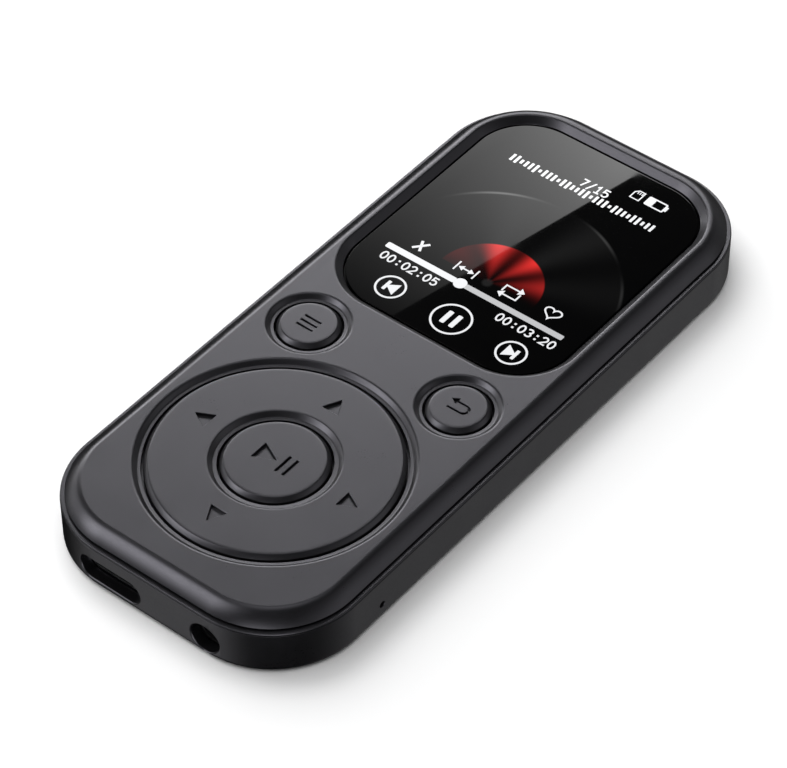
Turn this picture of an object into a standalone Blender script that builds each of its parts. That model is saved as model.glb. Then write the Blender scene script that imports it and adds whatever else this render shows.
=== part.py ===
"""A pocket digital audio player that lies on its back, face up.

+X is the player's right, +Y points to its display end and +Z comes out of its face.
The origin is on the table, under the middle of the case.
"""

import math

import bmesh
import bpy
from mathutils import Matrix, Vector

MM = 0.001
GAP = 0.30 * MM                      # clearance between neighbouring pieces

# Case
CASE_HEIGHT = 8.60 * MM
SEAM_HALF_X = 20.00 * MM             # outline of the front shell at the seam
SEAM_HALF_Y = 47.28 * MM
SEAM_RADIUS = 11.63 * MM
SEAM_DROP = 1.62 * MM                # seam below the face
SEAM_Z = CASE_HEIGHT - SEAM_DROP
CROWN_WIDTH = 2.30 * MM              # sloping border between the flat face and the seam
CROWN_FIRST_TILT = math.radians(20)
CROWN_LAST_TILT = math.radians(50)
BACK_OVERHANG = 0.60 * MM            # the back shell is this much larger all round
BACK_WALL = 1.50 * MM
BACK_FLOOR = 0.90 * MM
BACK_FOOT_RADIUS = 1.10 * MM
RIM_LEDGE = 0.30 * MM                # flat top of the back shell's edge, outside the seam
RIM_ROUND = 0.30 * MM
PLATE_UNDERSIDE = CASE_HEIGHT - 1.20 * MM
SKIRT_CLEARANCE = 0.35 * MM          # between the front shell's skirt and the back shell
SKIRT_WALL = 0.90 * MM
SKIRT_BOTTOM = 5.80 * MM
CORNER_STEPS = 9

# Display window
WINDOW_HALF_X = 17.50 * MM
WINDOW_LOW_Y = 1.75 * MM
WINDOW_HIGH_Y = 44.60 * MM
WINDOW_RADIUS = 8.80 * MM
BEVEL_WIDTH = 0.95 * MM              # sloping edge between the face and the lens
BEVEL_DEPTH = 0.80 * MM
LENS_THICKNESS = 0.80 * MM
LEDGE_WIDTH = 1.15 * MM              # the lens bears on this ledge through its gasket
GASKET_THICKNESS = 0.20 * MM
LCD_MARGIN = 0.40 * MM
LCD_CORNER = 5.50 * MM
GASKET_CORNER = 6.00 * MM
FLEX_WIDTH = 8.00 * MM

# Controls
GROOVE_DEPTH = 0.56 * MM             # ring-shaped recess round each control
GROOVE_SLOPE = 0.55 * MM
TOP_CHAMFER = 0.45 * MM
WHEEL_Y = -25.16 * MM
WHEEL_RADIUS = 15.58 * MM
WHEEL_WELL_EDGE = 16.87 * MM
PLAY_RADIUS = 6.64 * MM
PLAY_WELL_EDGE = 8.01 * MM
SMALL_RADIUS = 4.03 * MM
SMALL_WELL_EDGE = 5.32 * MM
SMALL_X = 11.57 * MM
SMALL_Y = -4.94 * MM
KEY_BOTTOM = 6.35 * MM
WHEEL_UNDERSIDE = 6.95 * MM
WHEEL_FLANGE_RADIUS = 16.60 * MM
DOME_CIRCLE = 12.00 * MM             # the wheel's four domes lie on this radius
MARK_DEPTH = 0.45 * MM
MARK_CIRCLE = 11.30 * MM

# Circuit board
BOARD_BOTTOM = 4.65 * MM
BOARD_THICKNESS = 0.80 * MM
BOARD_TOP = BOARD_BOTTOM + BOARD_THICKNESS
BOARD_HALF_X = 18.50 * MM
BOARD_LOW_Y = -45.90 * MM
BOARD_HIGH_Y = 1.20 * MM
SCREW_PLACES = [(-14.0, -41.5), (14.0, -41.5), (-16.6, -12.0), (16.6, -12.0)]

# Sockets
PORT_Z = 2.80 * MM
USB_X = -6.35 * MM
USB_SLOT = (9.40 * MM, 3.30 * MM)
USB_SHELL = (8.94 * MM, 3.16 * MM)
USB_SHELL_WALL = 0.30 * MM
USB_LENGTH = 7.30 * MM
JACK_X = 8.20 * MM
JACK_HOLE_RADIUS = 2.05 * MM
JACK_BORE_RADIUS = 1.80 * MM
JACK_BODY = (5.20 * MM, 13.10 * MM, 4.20 * MM)
PINHOLE_Y = -30.80 * MM
PINHOLE_Z = 2.30 * MM
PINHOLE_RADIUS = 0.50 * MM
CARD_Y = -22.00 * MM
CARD_SIZE = (15.00 * MM, 11.00 * MM, 0.70 * MM)
CARD_BOTTOM = 3.30 * MM

# Battery and display stack, from the floor up
CELL_SIZE = (31.0 * MM, 36.0 * MM, 2.30 * MM)
CELL_BOTTOM = 2.00 * MM
STACK_Y = (WINDOW_LOW_Y + WINDOW_HIGH_Y) / 2

LENS_TOP = CASE_HEIGHT - BEVEL_DEPTH
LENS_HOLE_X = WINDOW_HALF_X - BEVEL_WIDTH
LENS_HOLE_Y = (WINDOW_HIGH_Y - WINDOW_LOW_Y) / 2 - BEVEL_WIDTH
LENS_HOLE_RADIUS = WINDOW_RADIUS - BEVEL_WIDTH
LEDGE_TOP = LENS_TOP - LENS_THICKNESS - GASKET_THICKNESS - 2 * GAP
BACK_HALF_X = SEAM_HALF_X + BACK_OVERHANG
BACK_HALF_Y = SEAM_HALF_Y + BACK_OVERHANG
BACK_RADIUS = SEAM_RADIUS + BACK_OVERHANG
ROOM_HALF_X = BACK_HALF_X - BACK_WALL
ROOM_HALF_Y = BACK_HALF_Y - BACK_WALL
ROOM_RADIUS = BACK_RADIUS - BACK_WALL


# ---------------------------------------------------------------- helpers

def clear_scene():
    for obj in list(bpy.data.objects):
        bpy.data.objects.remove(obj)


def new_collection(name):
    collection = bpy.data.collections.new(name)
    bpy.context.scene.collection.children.link(collection)
    return collection


def plastic(name, colour, roughness=0.5, metallic=0.0):
    mat = bpy.data.materials.new(name)
    mat.use_nodes = True
    shader = mat.node_tree.nodes["Principled BSDF"]
    shader.inputs["Base Color"].default_value = (*colour, 1.0)
    shader.inputs["Roughness"].default_value = roughness
    shader.inputs["Metallic"].default_value = metallic
    return mat


def keep(obj, mat):
    """Puts a finished piece among the parts, with its material and its smooth faces."""
    PARTS.objects.link(obj)
    obj.data.materials.append(mat)
    return obj


def as_cutter(obj):
    CUTTERS.objects.link(obj)
    obj.hide_render = True
    obj.display_type = "WIRE"
    return obj


def mesh_object(name, bm, place=(0, 0, 0)):
    bmesh.ops.recalc_face_normals(bm, faces=bm.faces)
    mesh = bpy.data.meshes.new(name)
    bm.to_mesh(mesh)
    bm.free()
    mesh.shade_smooth()
    mesh.set_sharp_from_angle(angle=math.radians(30))
    obj = bpy.data.objects.new(name, mesh)
    obj.location = place
    return obj


def rounded_outline(half_x, half_y, low_radius, high_radius, steps):
    """Points round a rectangle with rounded corners, anticlockwise, low corners first."""
    corners = [
        (-1, -1, low_radius, 180), (1, -1, low_radius, 270),
        (1, 1, high_radius, 0), (-1, 1, high_radius, 90),
    ]
    points = []
    for side_x, side_y, radius, start in corners:
        for step in range(steps + 1):
            angle = math.radians(start + 90 * step / steps)
            points.append((
                side_x * (half_x - radius) + radius * math.cos(angle),
                side_y * (half_y - radius) + radius * math.sin(angle),
            ))
    return points


def loft(name, sections, place=(0, 0, 0), steps=CORNER_STEPS):
    """A closed solid through rounded rectangles: (half_x, half_y, low_radius, high_radius, z)."""
    bm = bmesh.new()
    rings = []
    for half_x, half_y, low_radius, high_radius, z in sections:
        outline = rounded_outline(half_x, half_y, low_radius, high_radius, steps)
        rings.append([bm.verts.new((x, y, z)) for x, y in outline])
    for lower, upper in zip(rings, rings[1:]):
        for i in range(len(lower)):
            j = (i + 1) % len(lower)
            bm.faces.new((lower[i], lower[j], upper[j], upper[i]))
    bm.faces.new(rings[0])
    bm.faces.new(rings[-1])
    return mesh_object(name, bm, place)


def slab(name, half_x, half_y, radius, low_z, high_z, place=(0, 0, 0), steps=CORNER_STEPS):
    """A flat plate with rounded corners."""
    ends = [(half_x, half_y, radius, radius, z) for z in (low_z, high_z)]
    return loft(name, ends, place, steps)


def block(name, size, centre):
    bm = bmesh.new()
    bmesh.ops.create_cube(bm, size=1.0)
    bmesh.ops.scale(bm, vec=size, verts=bm.verts)
    return mesh_object(name, bm, centre)


def cylinder(name, radius, low_z, high_z, x=0.0, y=0.0, segments=24):
    bm = bmesh.new()
    bmesh.ops.create_cone(
        bm, cap_ends=True, segments=segments, radius1=radius, radius2=radius, depth=high_z - low_z
    )
    return mesh_object(name, bm, (x, y, (low_z + high_z) / 2))


def turned(name, profile, x, y, steps, closed=False):
    """A solid of revolution about Z. The profile (radius, z) runs down its outer side."""
    bm = bmesh.new()
    points = [bm.verts.new((radius, 0, z)) for radius, z in profile]
    for first, second in zip(points, points[1:]):
        bm.edges.new((first, second))
    if closed:
        bm.edges.new((points[-1], points[0]))
    mesh = bpy.data.meshes.new(name)
    bm.to_mesh(mesh)
    bm.free()
    obj = bpy.data.objects.new(name, mesh)
    obj.location = (x, y, 0)
    screw = obj.modifiers.new("turn", "SCREW")
    screw.steps = steps
    screw.render_steps = steps
    screw.use_merge_vertices = True
    screw.merge_threshold = 0.00001
    return obj


def combine(obj, other, operation):
    as_cutter(other)
    boolean = obj.modifiers.new(other.name, "BOOLEAN")
    boolean.operation = operation
    boolean.solver = "EXACT"
    boolean.object = other
    return obj


def cut(obj, cutter):
    return combine(obj, cutter, "DIFFERENCE")


def add(obj, other):
    return combine(obj, other, "UNION")


# ---------------------------------------------------------------- case

def crown_sections():
    """Outlines of the front shell's sloping border, from the seam up to the flat face."""
    tilt_range = math.sin(CROWN_LAST_TILT) - math.sin(CROWN_FIRST_TILT)
    arc_radius = CROWN_WIDTH / tilt_range
    sections = []
    steps = 4
    for step in range(steps + 1):
        tilt = CROWN_LAST_TILT + (CROWN_FIRST_TILT - CROWN_LAST_TILT) * step / steps
        inset = arc_radius * (math.sin(CROWN_LAST_TILT) - math.sin(tilt))
        rise = arc_radius * (math.cos(tilt) - math.cos(CROWN_LAST_TILT))
        radius = SEAM_RADIUS - inset
        sections.append(
            (SEAM_HALF_X - inset, SEAM_HALF_Y - inset, radius, radius, SEAM_Z + rise)
        )
    return sections


def control_recess(name, edge_radius, hole_radius, top_z, bottom_z, x, y, steps):
    """Cutter for a stepped well: a sloping side, a flat ring and a hole right through."""
    slope = GROOVE_SLOPE / GROOVE_DEPTH
    above = 0.2 * MM
    ring_z = top_z - GROOVE_DEPTH
    profile = [
        (0, top_z + above), (edge_radius + above * slope, top_z + above),
        (edge_radius - GROOVE_SLOPE, ring_z), (hole_radius, ring_z),
        (hole_radius, bottom_z), (0, bottom_z),
    ]
    return turned(name, profile, x, y, steps)


def make_front_shell():
    crown = crown_sections()
    shell = loft("front_shell", crown)
    skirt_x = ROOM_HALF_X - SKIRT_CLEARANCE
    skirt_y = ROOM_HALF_Y - SKIRT_CLEARANCE
    skirt_radius = ROOM_RADIUS - SKIRT_CLEARANCE
    add(shell, slab("skirt", skirt_x, skirt_y, skirt_radius, SKIRT_BOTTOM, SEAM_Z + 0.3 * MM))

    bay_high = WINDOW_LOW_Y - 0.85 * MM
    bay_low = -skirt_y + SKIRT_WALL
    bay_mid = (bay_low + bay_high) / 2
    bay = [
        (skirt_x - SKIRT_WALL, (bay_high - bay_low) / 2, skirt_radius - SKIRT_WALL, 6.0 * MM, z)
        for z in (SKIRT_BOTTOM - 0.2 * MM, PLATE_UNDERSIDE)
    ]
    cut(shell, loft("control_bay", bay, (0, bay_mid, 0)))

    slope = BEVEL_WIDTH / BEVEL_DEPTH
    above = 0.2 * MM
    window = []
    for z, grow in [(LEDGE_TOP, 0), (LENS_TOP, 0), (CASE_HEIGHT + above, BEVEL_WIDTH + above * slope)]:
        radius = LENS_HOLE_RADIUS + grow
        window.append((LENS_HOLE_X + grow, LENS_HOLE_Y + grow, radius, radius, z))
    cut(shell, loft("window", window, (0, STACK_Y, 0)))
    cut(shell, slab(
        "lcd_opening", LENS_HOLE_X - LEDGE_WIDTH, LENS_HOLE_Y - LEDGE_WIDTH, 4.0 * MM,
        SKIRT_BOTTOM - 0.2 * MM, LEDGE_TOP + 0.1 * MM, (0, STACK_Y, 0), 4))

    channel_low = bay_high - MM
    channel_high = STACK_Y - LENS_HOLE_Y + LEDGE_WIDTH + MM
    cut(shell, block(
        "flex_channel", (FLEX_WIDTH + 4 * GAP, channel_high - channel_low, 2 * MM),
        (0, (channel_low + channel_high) / 2, SKIRT_BOTTOM - 0.2 * MM)))

    for number, (x, y) in enumerate(SCREW_PLACES, 1):
        boss = cylinder(
            f"boss_{number}", 1.8 * MM, BOARD_TOP + GAP, PLATE_UNDERSIDE + 0.3 * MM, x * MM, y * MM, 16)
        pilot = cylinder(
            f"pilot_{number}", 0.9 * MM, BOARD_TOP, PLATE_UNDERSIDE, x * MM, y * MM, 12)
        add(shell, boss)
        cut(shell, pilot)

    below = PLATE_UNDERSIDE - 0.2 * MM
    cut(shell, control_recess(
        "wheel_well", WHEEL_WELL_EDGE, WHEEL_RADIUS + GAP, CASE_HEIGHT, below, 0, WHEEL_Y, 64))
    for side, name in ((-1, "menu_well"), (1, "return_well")):
        cut(shell, control_recess(
            name, SMALL_WELL_EDGE, SMALL_RADIUS + GAP, CASE_HEIGHT, below,
            side * SMALL_X, SMALL_Y, 32))
    return keep(shell, CASE_BLACK)


def back_sections():
    """Outlines of the back shell, from the table up to its rim."""
    sections = []
    steps = 4
    for step in range(steps + 1):
        angle = math.radians(90 * step / steps)
        inset = BACK_FOOT_RADIUS * (1 - math.sin(angle))
        z = BACK_FOOT_RADIUS * (1 - math.cos(angle))
        sections.append((inset, z))
    rim_z = SEAM_Z - GAP
    round_inset = BACK_OVERHANG - RIM_LEDGE
    sections.append((0, rim_z - RIM_ROUND))
    sections.append((0.3 * round_inset, rim_z - 0.3 * RIM_ROUND))
    sections.append((round_inset, rim_z))
    return [
        (BACK_HALF_X - inset, BACK_HALF_Y - inset, BACK_RADIUS - inset, BACK_RADIUS - inset, z)
        for inset, z in sections
    ]


def make_back_shell():
    shell = loft("back_shell", back_sections())
    cut(shell, slab("room", ROOM_HALF_X, ROOM_HALF_Y, ROOM_RADIUS, BACK_FLOOR, CASE_HEIGHT))

    usb_slot = slab(
        "usb_slot", USB_SLOT[0] / 2, USB_SLOT[1] / 2, 0.98 * USB_SLOT[1] / 2, -2 * MM, 2 * MM,
        (USB_X, -BACK_HALF_Y, PORT_Z), 6)
    usb_slot.rotation_euler = (math.radians(90), 0, 0)
    cut(shell, usb_slot)

    jack_hole = cylinder("jack_hole", JACK_HOLE_RADIUS, -2 * MM, 2 * MM)
    jack_hole.rotation_euler = (math.radians(90), 0, 0)
    jack_hole.location = (JACK_X, -BACK_HALF_Y, PORT_Z)
    cut(shell, jack_hole)

    pinhole = cylinder("pinhole", PINHOLE_RADIUS, -2 * MM, 2 * MM, segments=12)
    pinhole.rotation_euler = (0, math.radians(90), 0)
    pinhole.location = (BACK_HALF_X, PINHOLE_Y, PINHOLE_Z)
    cut(shell, pinhole)

    card_slot_size = (2 * BACK_WALL + 1 * MM, CARD_SIZE[1] + 2 * GAP, CARD_SIZE[2] + 2 * GAP)
    cut(shell, block("card_slot", card_slot_size, (-BACK_HALF_X, CARD_Y, CARD_BOTTOM + CARD_SIZE[2] / 2)))
    thumb = cylinder("card_thumb_notch", 3.2 * MM, -0.7 * MM, 0.7 * MM, segments=24)
    thumb.rotation_euler = (0, math.radians(90), 0)
    thumb.location = (-BACK_HALF_X, CARD_Y, CARD_BOTTOM + CARD_SIZE[2] / 2)
    thumb.scale = (0.4, 1, 1)
    cut(shell, thumb)

    jack_y = -ROOM_HALF_Y + GAP + JACK_BODY[1] / 2
    pocket_size = (JACK_BODY[0] + 2 * GAP, JACK_BODY[1] + 2 * GAP, 1.0 * MM)
    cut(shell, block("jack_pocket", pocket_size, (JACK_X, jack_y, 0.9 * MM)))
    return keep(shell, CASE_BLACK)


# ---------------------------------------------------------------- display

def make_display():
    lens_x = LENS_HOLE_X - GAP
    lens_y = LENS_HOLE_Y - GAP
    lens_radius = LENS_HOLE_RADIUS - GAP
    middle = (0, STACK_Y, 0)
    lens_bottom = LENS_TOP - LENS_THICKNESS
    keep(slab("display_lens", lens_x, lens_y, lens_radius, lens_bottom, LENS_TOP, middle), GLASS)

    gasket_low = LEDGE_TOP + GAP
    gasket_high = gasket_low + GASKET_THICKNESS
    gasket = slab("lens_gasket", lens_x, lens_y, lens_radius, gasket_low, gasket_high, middle, 6)
    inner_x = LENS_HOLE_X - LEDGE_WIDTH + 0.1 * MM
    inner_y = LENS_HOLE_Y - LEDGE_WIDTH + 0.1 * MM
    cut(gasket, slab(
        "gasket_hole", inner_x, inner_y, GASKET_CORNER, gasket_low - GAP, gasket_high + GAP, middle, 5))
    keep(gasket, FOAM)

    lcd_x = LENS_HOLE_X - LEDGE_WIDTH - LCD_MARGIN
    lcd_y = LENS_HOLE_Y - LEDGE_WIDTH - LCD_MARGIN
    lcd_top = lens_bottom - GAP
    lcd_bottom = lcd_top - 0.8 * MM
    keep(slab("lcd_panel", lcd_x, lcd_y, LCD_CORNER, lcd_bottom, lcd_top, middle, 5), LCD)

    light_top = lcd_bottom - GAP
    light_bottom = light_top - 0.5 * MM
    keep(slab(
        "lcd_backlight", lcd_x, lcd_y, LCD_CORNER, light_bottom, light_top, middle, 5), WHITE)

    tray_top = light_bottom - GAP
    keep(slab(
        "lcd_tray", lcd_x, lcd_y, LCD_CORNER, tray_top - 0.2 * MM, tray_top, middle, 5), STEEL)

    connector_z = BOARD_TOP + GAP
    connector_height = 0.7 * MM
    connector_y = BOARD_HIGH_Y - 2.4 * MM
    keep(block(
        "lcd_connector", (10 * MM, 2.0 * MM, connector_height),
        (0, connector_y, connector_z + connector_height / 2)), WHITE)

    flex_start = STACK_Y - lcd_y - GAP
    flex_end = connector_y + 1.0 * MM + GAP
    flex_z = connector_z + connector_height / 2
    keep(block(
        "lcd_flex", (FLEX_WIDTH, flex_start - flex_end, 0.15 * MM),
        (0, (flex_start + flex_end) / 2, flex_z)), FLEX)


# ---------------------------------------------------------------- controls

def triangle_cutter(name, base, height, x, y, angle, top_z):
    """A three-sided cutter that points along angle, in the plane of the key's top."""
    bm = bmesh.new()
    corners = [(-height / 2, -base / 2), (height / 2, 0), (-height / 2, base / 2)]
    bottom = [bm.verts.new((px, py, top_z - MARK_DEPTH)) for px, py in corners]
    top = [bm.verts.new((px, py, top_z + MARK_DEPTH)) for px, py in corners]
    bm.faces.new(bottom)
    bm.faces.new(top)
    for i in range(3):
        j = (i + 1) % 3
        bm.faces.new((bottom[i], bottom[j], top[j], top[i]))
    obj = mesh_object(name, bm, (x, y, 0))
    obj.rotation_euler = (0, 0, angle)
    return obj


def bar_cutter(name, size_x, size_y, x, y):
    return block(name, (size_x, size_y, 2 * MARK_DEPTH), (x, y, CASE_HEIGHT))


def button_profile(radius, flange_radius, flange_top):
    top = CASE_HEIGHT
    return [
        (0, top), (radius - TOP_CHAMFER, top), (radius, top - TOP_CHAMFER),
        (radius, flange_top), (flange_radius, flange_top), (flange_radius, KEY_BOTTOM),
        (0, KEY_BOTTOM),
    ]


def make_wheel():
    top = CASE_HEIGHT
    hole = PLAY_RADIUS + GAP
    step_radius = 10.0 * MM
    ring_z = top - GROOVE_DEPTH
    profile = [
        (PLAY_WELL_EDGE, top), (WHEEL_RADIUS - TOP_CHAMFER, top),
        (WHEEL_RADIUS, top - TOP_CHAMFER), (WHEEL_RADIUS, WHEEL_UNDERSIDE),
        (WHEEL_FLANGE_RADIUS, WHEEL_UNDERSIDE), (WHEEL_FLANGE_RADIUS, KEY_BOTTOM),
        (step_radius, KEY_BOTTOM), (step_radius, WHEEL_UNDERSIDE), (hole, WHEEL_UNDERSIDE),
        (hole, ring_z), (PLAY_WELL_EDGE - GROOVE_SLOPE, ring_z),
    ]
    wheel = turned("control_wheel", profile, 0, WHEEL_Y, 64, closed=True)
    for number in range(4):
        angle = math.radians(90 * number)
        x = MARK_CIRCLE * math.cos(angle)
        y = WHEEL_Y + MARK_CIRCLE * math.sin(angle)
        cut(wheel, triangle_cutter(f"wheel_mark_{number + 1}", 2.4 * MM, 2.3 * MM, x, y, angle, top))
    keep(wheel, KEY_BLACK)

    ring_profile = [(9.6 * MM, 6.65 * MM), (9.6 * MM, 6.30 * MM), (8.3 * MM, 6.30 * MM), (8.3 * MM, 6.65 * MM)]
    keep(turned("wheel_pivot_ring", ring_profile, 0, WHEEL_Y, 32, closed=True), STEEL)


def make_play_button():
    profile = button_profile(PLAY_RADIUS, 7.60 * MM, KEY_BOTTOM + 0.25 * MM)
    button = turned("play_button", profile, 0, WHEEL_Y, 40)
    cut(button, triangle_cutter("play_mark", 2.8 * MM, 2.8 * MM, -1.2 * MM, WHEEL_Y, 0, CASE_HEIGHT))
    for number, x in enumerate((1.2 * MM, 2.3 * MM), 1):
        cut(button, bar_cutter(f"pause_mark_{number}", 0.35 * MM, 2.9 * MM, x, WHEEL_Y))
    keep(button, KEY_BLACK)


def make_small_buttons():
    profile = button_profile(SMALL_RADIUS, 4.90 * MM, KEY_BOTTOM + 0.50 * MM)
    menu = turned("menu_button", profile, -SMALL_X, SMALL_Y, 32)
    for number, offset in enumerate((-0.85 * MM, 0.0, 0.85 * MM), 1):
        cut(menu, bar_cutter(f"menu_mark_{number}", 2.5 * MM, 0.32 * MM, -SMALL_X, SMALL_Y + offset))
    keep(menu, KEY_BLACK)

    back = turned("return_button", profile, SMALL_X, SMALL_Y, 32)
    cut(back, triangle_cutter(
        "return_arrow", 1.3 * MM, 1.1 * MM, SMALL_X - 1.1 * MM, SMALL_Y + 0.7 * MM,
        math.radians(180), CASE_HEIGHT))
    cut(back, bar_cutter("return_line_1", 1.9 * MM, 0.3 * MM, SMALL_X + 0.35 * MM, SMALL_Y + 0.7 * MM))
    cut(back, bar_cutter("return_line_2", 2.4 * MM, 0.3 * MM, SMALL_X + 0.1 * MM, SMALL_Y - 0.7 * MM))
    cut(back, bar_cutter("return_line_3", 0.3 * MM, 1.7 * MM, SMALL_X + 1.3 * MM, SMALL_Y))
    keep(back, KEY_BLACK)


def make_domes():
    low = BOARD_TOP + GAP
    high = low + 0.30 * MM
    places = {
        "dome_right": (DOME_CIRCLE, WHEEL_Y), "dome_up": (0, WHEEL_Y + DOME_CIRCLE),
        "dome_left": (-DOME_CIRCLE, WHEEL_Y), "dome_down": (0, WHEEL_Y - DOME_CIRCLE),
        "dome_play": (0, WHEEL_Y), "dome_menu": (-SMALL_X, SMALL_Y), "dome_return": (SMALL_X, SMALL_Y),
    }
    profile = [(0, high), (1.2 * MM, high - 0.05 * MM), (2.0 * MM, low + 0.1 * MM), (2.0 * MM, low), (0, low)]
    for name, (x, y) in places.items():
        keep(turned(name, profile, x, y, 16), STEEL)


# ---------------------------------------------------------------- electronics

def make_board():
    middle_y = (BOARD_LOW_Y + BOARD_HIGH_Y) / 2
    half_y = (BOARD_HIGH_Y - BOARD_LOW_Y) / 2
    sections = [
        (BOARD_HALF_X, half_y, ROOM_RADIUS - 0.6 * MM, 1.0 * MM, z) for z in (BOARD_BOTTOM, BOARD_TOP)
    ]
    board = loft("main_board", sections, (0, middle_y, 0), 6)
    notch_y = -ROOM_HALF_Y + JACK_BODY[1] / 2
    notch_size = (JACK_BODY[0] + 2 * GAP, JACK_BODY[1] + 1.2 * MM, 3 * BOARD_THICKNESS)
    cut(board, block("jack_notch", notch_size, (JACK_X, notch_y, BOARD_BOTTOM)))
    for number, (x, y) in enumerate(SCREW_PLACES, 1):
        cut(board, cylinder(
            f"board_hole_{number}", 0.9 * MM, BOARD_BOTTOM - MM, BOARD_TOP + MM, x * MM, y * MM, 12))
    keep(board, BOARD_GREEN)


def make_board_screws():
    head_top = BOARD_BOTTOM - GAP
    profile = [
        (0, 6.9 * MM), (0.5 * MM, 6.9 * MM), (0.5 * MM, head_top), (1.3 * MM, head_top),
        (1.3 * MM, head_top - 0.6 * MM), (0, head_top - 0.6 * MM),
    ]
    for number, (x, y) in enumerate(SCREW_PLACES, 1):
        keep(turned(f"board_screw_{number}", profile, x * MM, y * MM, 12), STEEL)


def make_chips():
    """Packages under the board: name, (size x, size y, height), (x, y), material."""
    chips = [
        ("main_processor", (9.0, 9.0, 1.0), (9.0, -10.0), EPOXY),
        ("flash_memory", (9.0, 11.0, 1.0), (9.5, -24.0), EPOXY),
        ("audio_codec", (4.0, 4.0, 0.8), (0.5, -35.5), EPOXY),
        ("power_chip", (3.0, 3.0, 0.8), (-12.5, -36.0), EPOXY),
        ("crystal", (3.2, 2.5, 0.7), (1.0, -9.5), STEEL),
        ("inductor", (3.0, 3.0, 1.4), (-6.0, -34.5), FERRITE),
        ("battery_connector", (4.0, 3.0, 1.5), (-8.0, -2.2), WHITE),
    ]
    top = BOARD_BOTTOM - GAP
    for name, size, (x, y), mat in chips:
        size = Vector(size) * MM
        keep(block(name, size, (x * MM, y * MM, top - size.z / 2)), mat)


def make_battery():
    cell_x, cell_y, cell_z = (value / 2 for value in CELL_SIZE)
    top = CELL_BOTTOM + 2 * cell_z
    soft = 0.5 * MM
    cell = [
        (cell_x - soft, cell_y - soft, 1.5 * MM, 1.5 * MM, CELL_BOTTOM),
        (cell_x, cell_y, 2.0 * MM, 2.0 * MM, CELL_BOTTOM + soft),
        (cell_x, cell_y, 2.0 * MM, 2.0 * MM, top - soft),
        (cell_x - soft, cell_y - soft, 1.5 * MM, 1.5 * MM, top),
    ]
    keep(loft("battery_cell", cell, (0, STACK_Y, 0), 3), FOIL)
    pad_top = CELL_BOTTOM - GAP
    keep(slab(
        "battery_pad", 11 * MM, 14 * MM, 1 * MM, BACK_FLOOR + GAP, pad_top, (0, STACK_Y, 0), 2), FOAM)

    guard_y = STACK_Y - cell_y - GAP - 1.2 * MM
    keep(block("battery_guard_board", (20 * MM, 2.4 * MM, 0.8 * MM), (0, guard_y, 3.0 * MM)), BOARD_GREEN)

    plug_y = -0.7 * MM + GAP
    start_y = guard_y - 1.2 * MM - GAP
    for name, x, mat in (("battery_lead_red", -8.7 * MM, RED), ("battery_lead_black", -7.3 * MM, BLACK)):
        lead(name, x, start_y, plug_y, mat)


def lead(name, x, start_y, end_y, mat):
    """A short insulated wire from the guard board to the battery plug."""
    curve = bpy.data.curves.new(name, "CURVE")
    curve.dimensions = "3D"
    curve.bevel_depth = 0.3 * MM
    curve.bevel_resolution = 2
    curve.use_fill_caps = True
    spline = curve.splines.new("POLY")
    count = 6
    spline.points.add(count - 1)
    for i, point in enumerate(spline.points):
        share = i / (count - 1)
        rise = 0.6 * MM * (1 - math.cos(math.pi * share)) / 2
        point.co = (x, start_y + (end_y - start_y) * share, 3.0 * MM + rise, 1)
    keep(bpy.data.objects.new(name, curve), mat)


def make_usb_socket():
    front_y = -ROOM_HALF_Y + GAP
    centre = (USB_X, front_y + USB_LENGTH / 2, PORT_Z)
    half_x, half_z = USB_SHELL[0] / 2, USB_SHELL[1] / 2
    shell = slab(
        "usb_c_shell", half_x, half_z, 0.95 * half_z, -USB_LENGTH / 2, USB_LENGTH / 2, centre, 5)
    shell.rotation_euler = (math.radians(90), 0, 0)
    inner_x = half_x - USB_SHELL_WALL
    inner_z = half_z - USB_SHELL_WALL
    cavity = slab(
        "usb_cavity", inner_x, inner_z, 0.95 * inner_z, -USB_LENGTH / 2 + 0.5 * MM,
        USB_LENGTH / 2 + MM, centre, 5)
    cavity.rotation_euler = (math.radians(90), 0, 0)
    cut(shell, cavity)
    keep(shell, STEEL)

    tongue_length = 4.8 * MM
    tongue_back = front_y + USB_LENGTH - 0.5 * MM - GAP
    keep(block(
        "usb_c_tongue", (6.7 * MM, tongue_length, 0.7 * MM),
        (USB_X, tongue_back - tongue_length / 2, PORT_Z)), BLACK)


def make_headphone_jack():
    size_x, size_y, size_z = JACK_BODY
    front_y = -ROOM_HALF_Y + GAP
    jack = block("headphone_jack", JACK_BODY, (JACK_X, front_y + size_y / 2, PORT_Z))
    bore = cylinder("jack_bore", JACK_BORE_RADIUS, -6 * MM, 6 * MM, segments=20)
    bore.rotation_euler = (math.radians(90), 0, 0)
    bore.location = (JACK_X, front_y + 5.5 * MM, PORT_Z)
    cut(jack, bore)
    keep(jack, BLACK)


def make_card_slot():
    card_x, card_y, card_z = CARD_SIZE
    front_x = -BACK_HALF_X + GAP
    middle_z = CARD_BOTTOM + card_z / 2
    card = block("memory_card", CARD_SIZE, (front_x + card_x / 2, CARD_Y, middle_z))
    keep(card, BLACK)

    wall = 0.15 * MM
    socket_front = -ROOM_HALF_X + GAP
    socket_back = front_x + card_x + GAP + wall
    length = socket_back - socket_front
    outer = (length, card_y + 2 * GAP + 2 * wall, card_z + 2 * GAP + 2 * wall)
    socket = block("card_socket", outer, ((socket_front + socket_back) / 2, CARD_Y, middle_z))
    inner = (length, card_y + 2 * GAP, card_z + 2 * GAP)
    hollow = block("card_socket_room", inner, ((socket_front + socket_back) / 2 - wall, CARD_Y, middle_z))
    cut(socket, hollow)
    keep(socket, STEEL)


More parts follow.
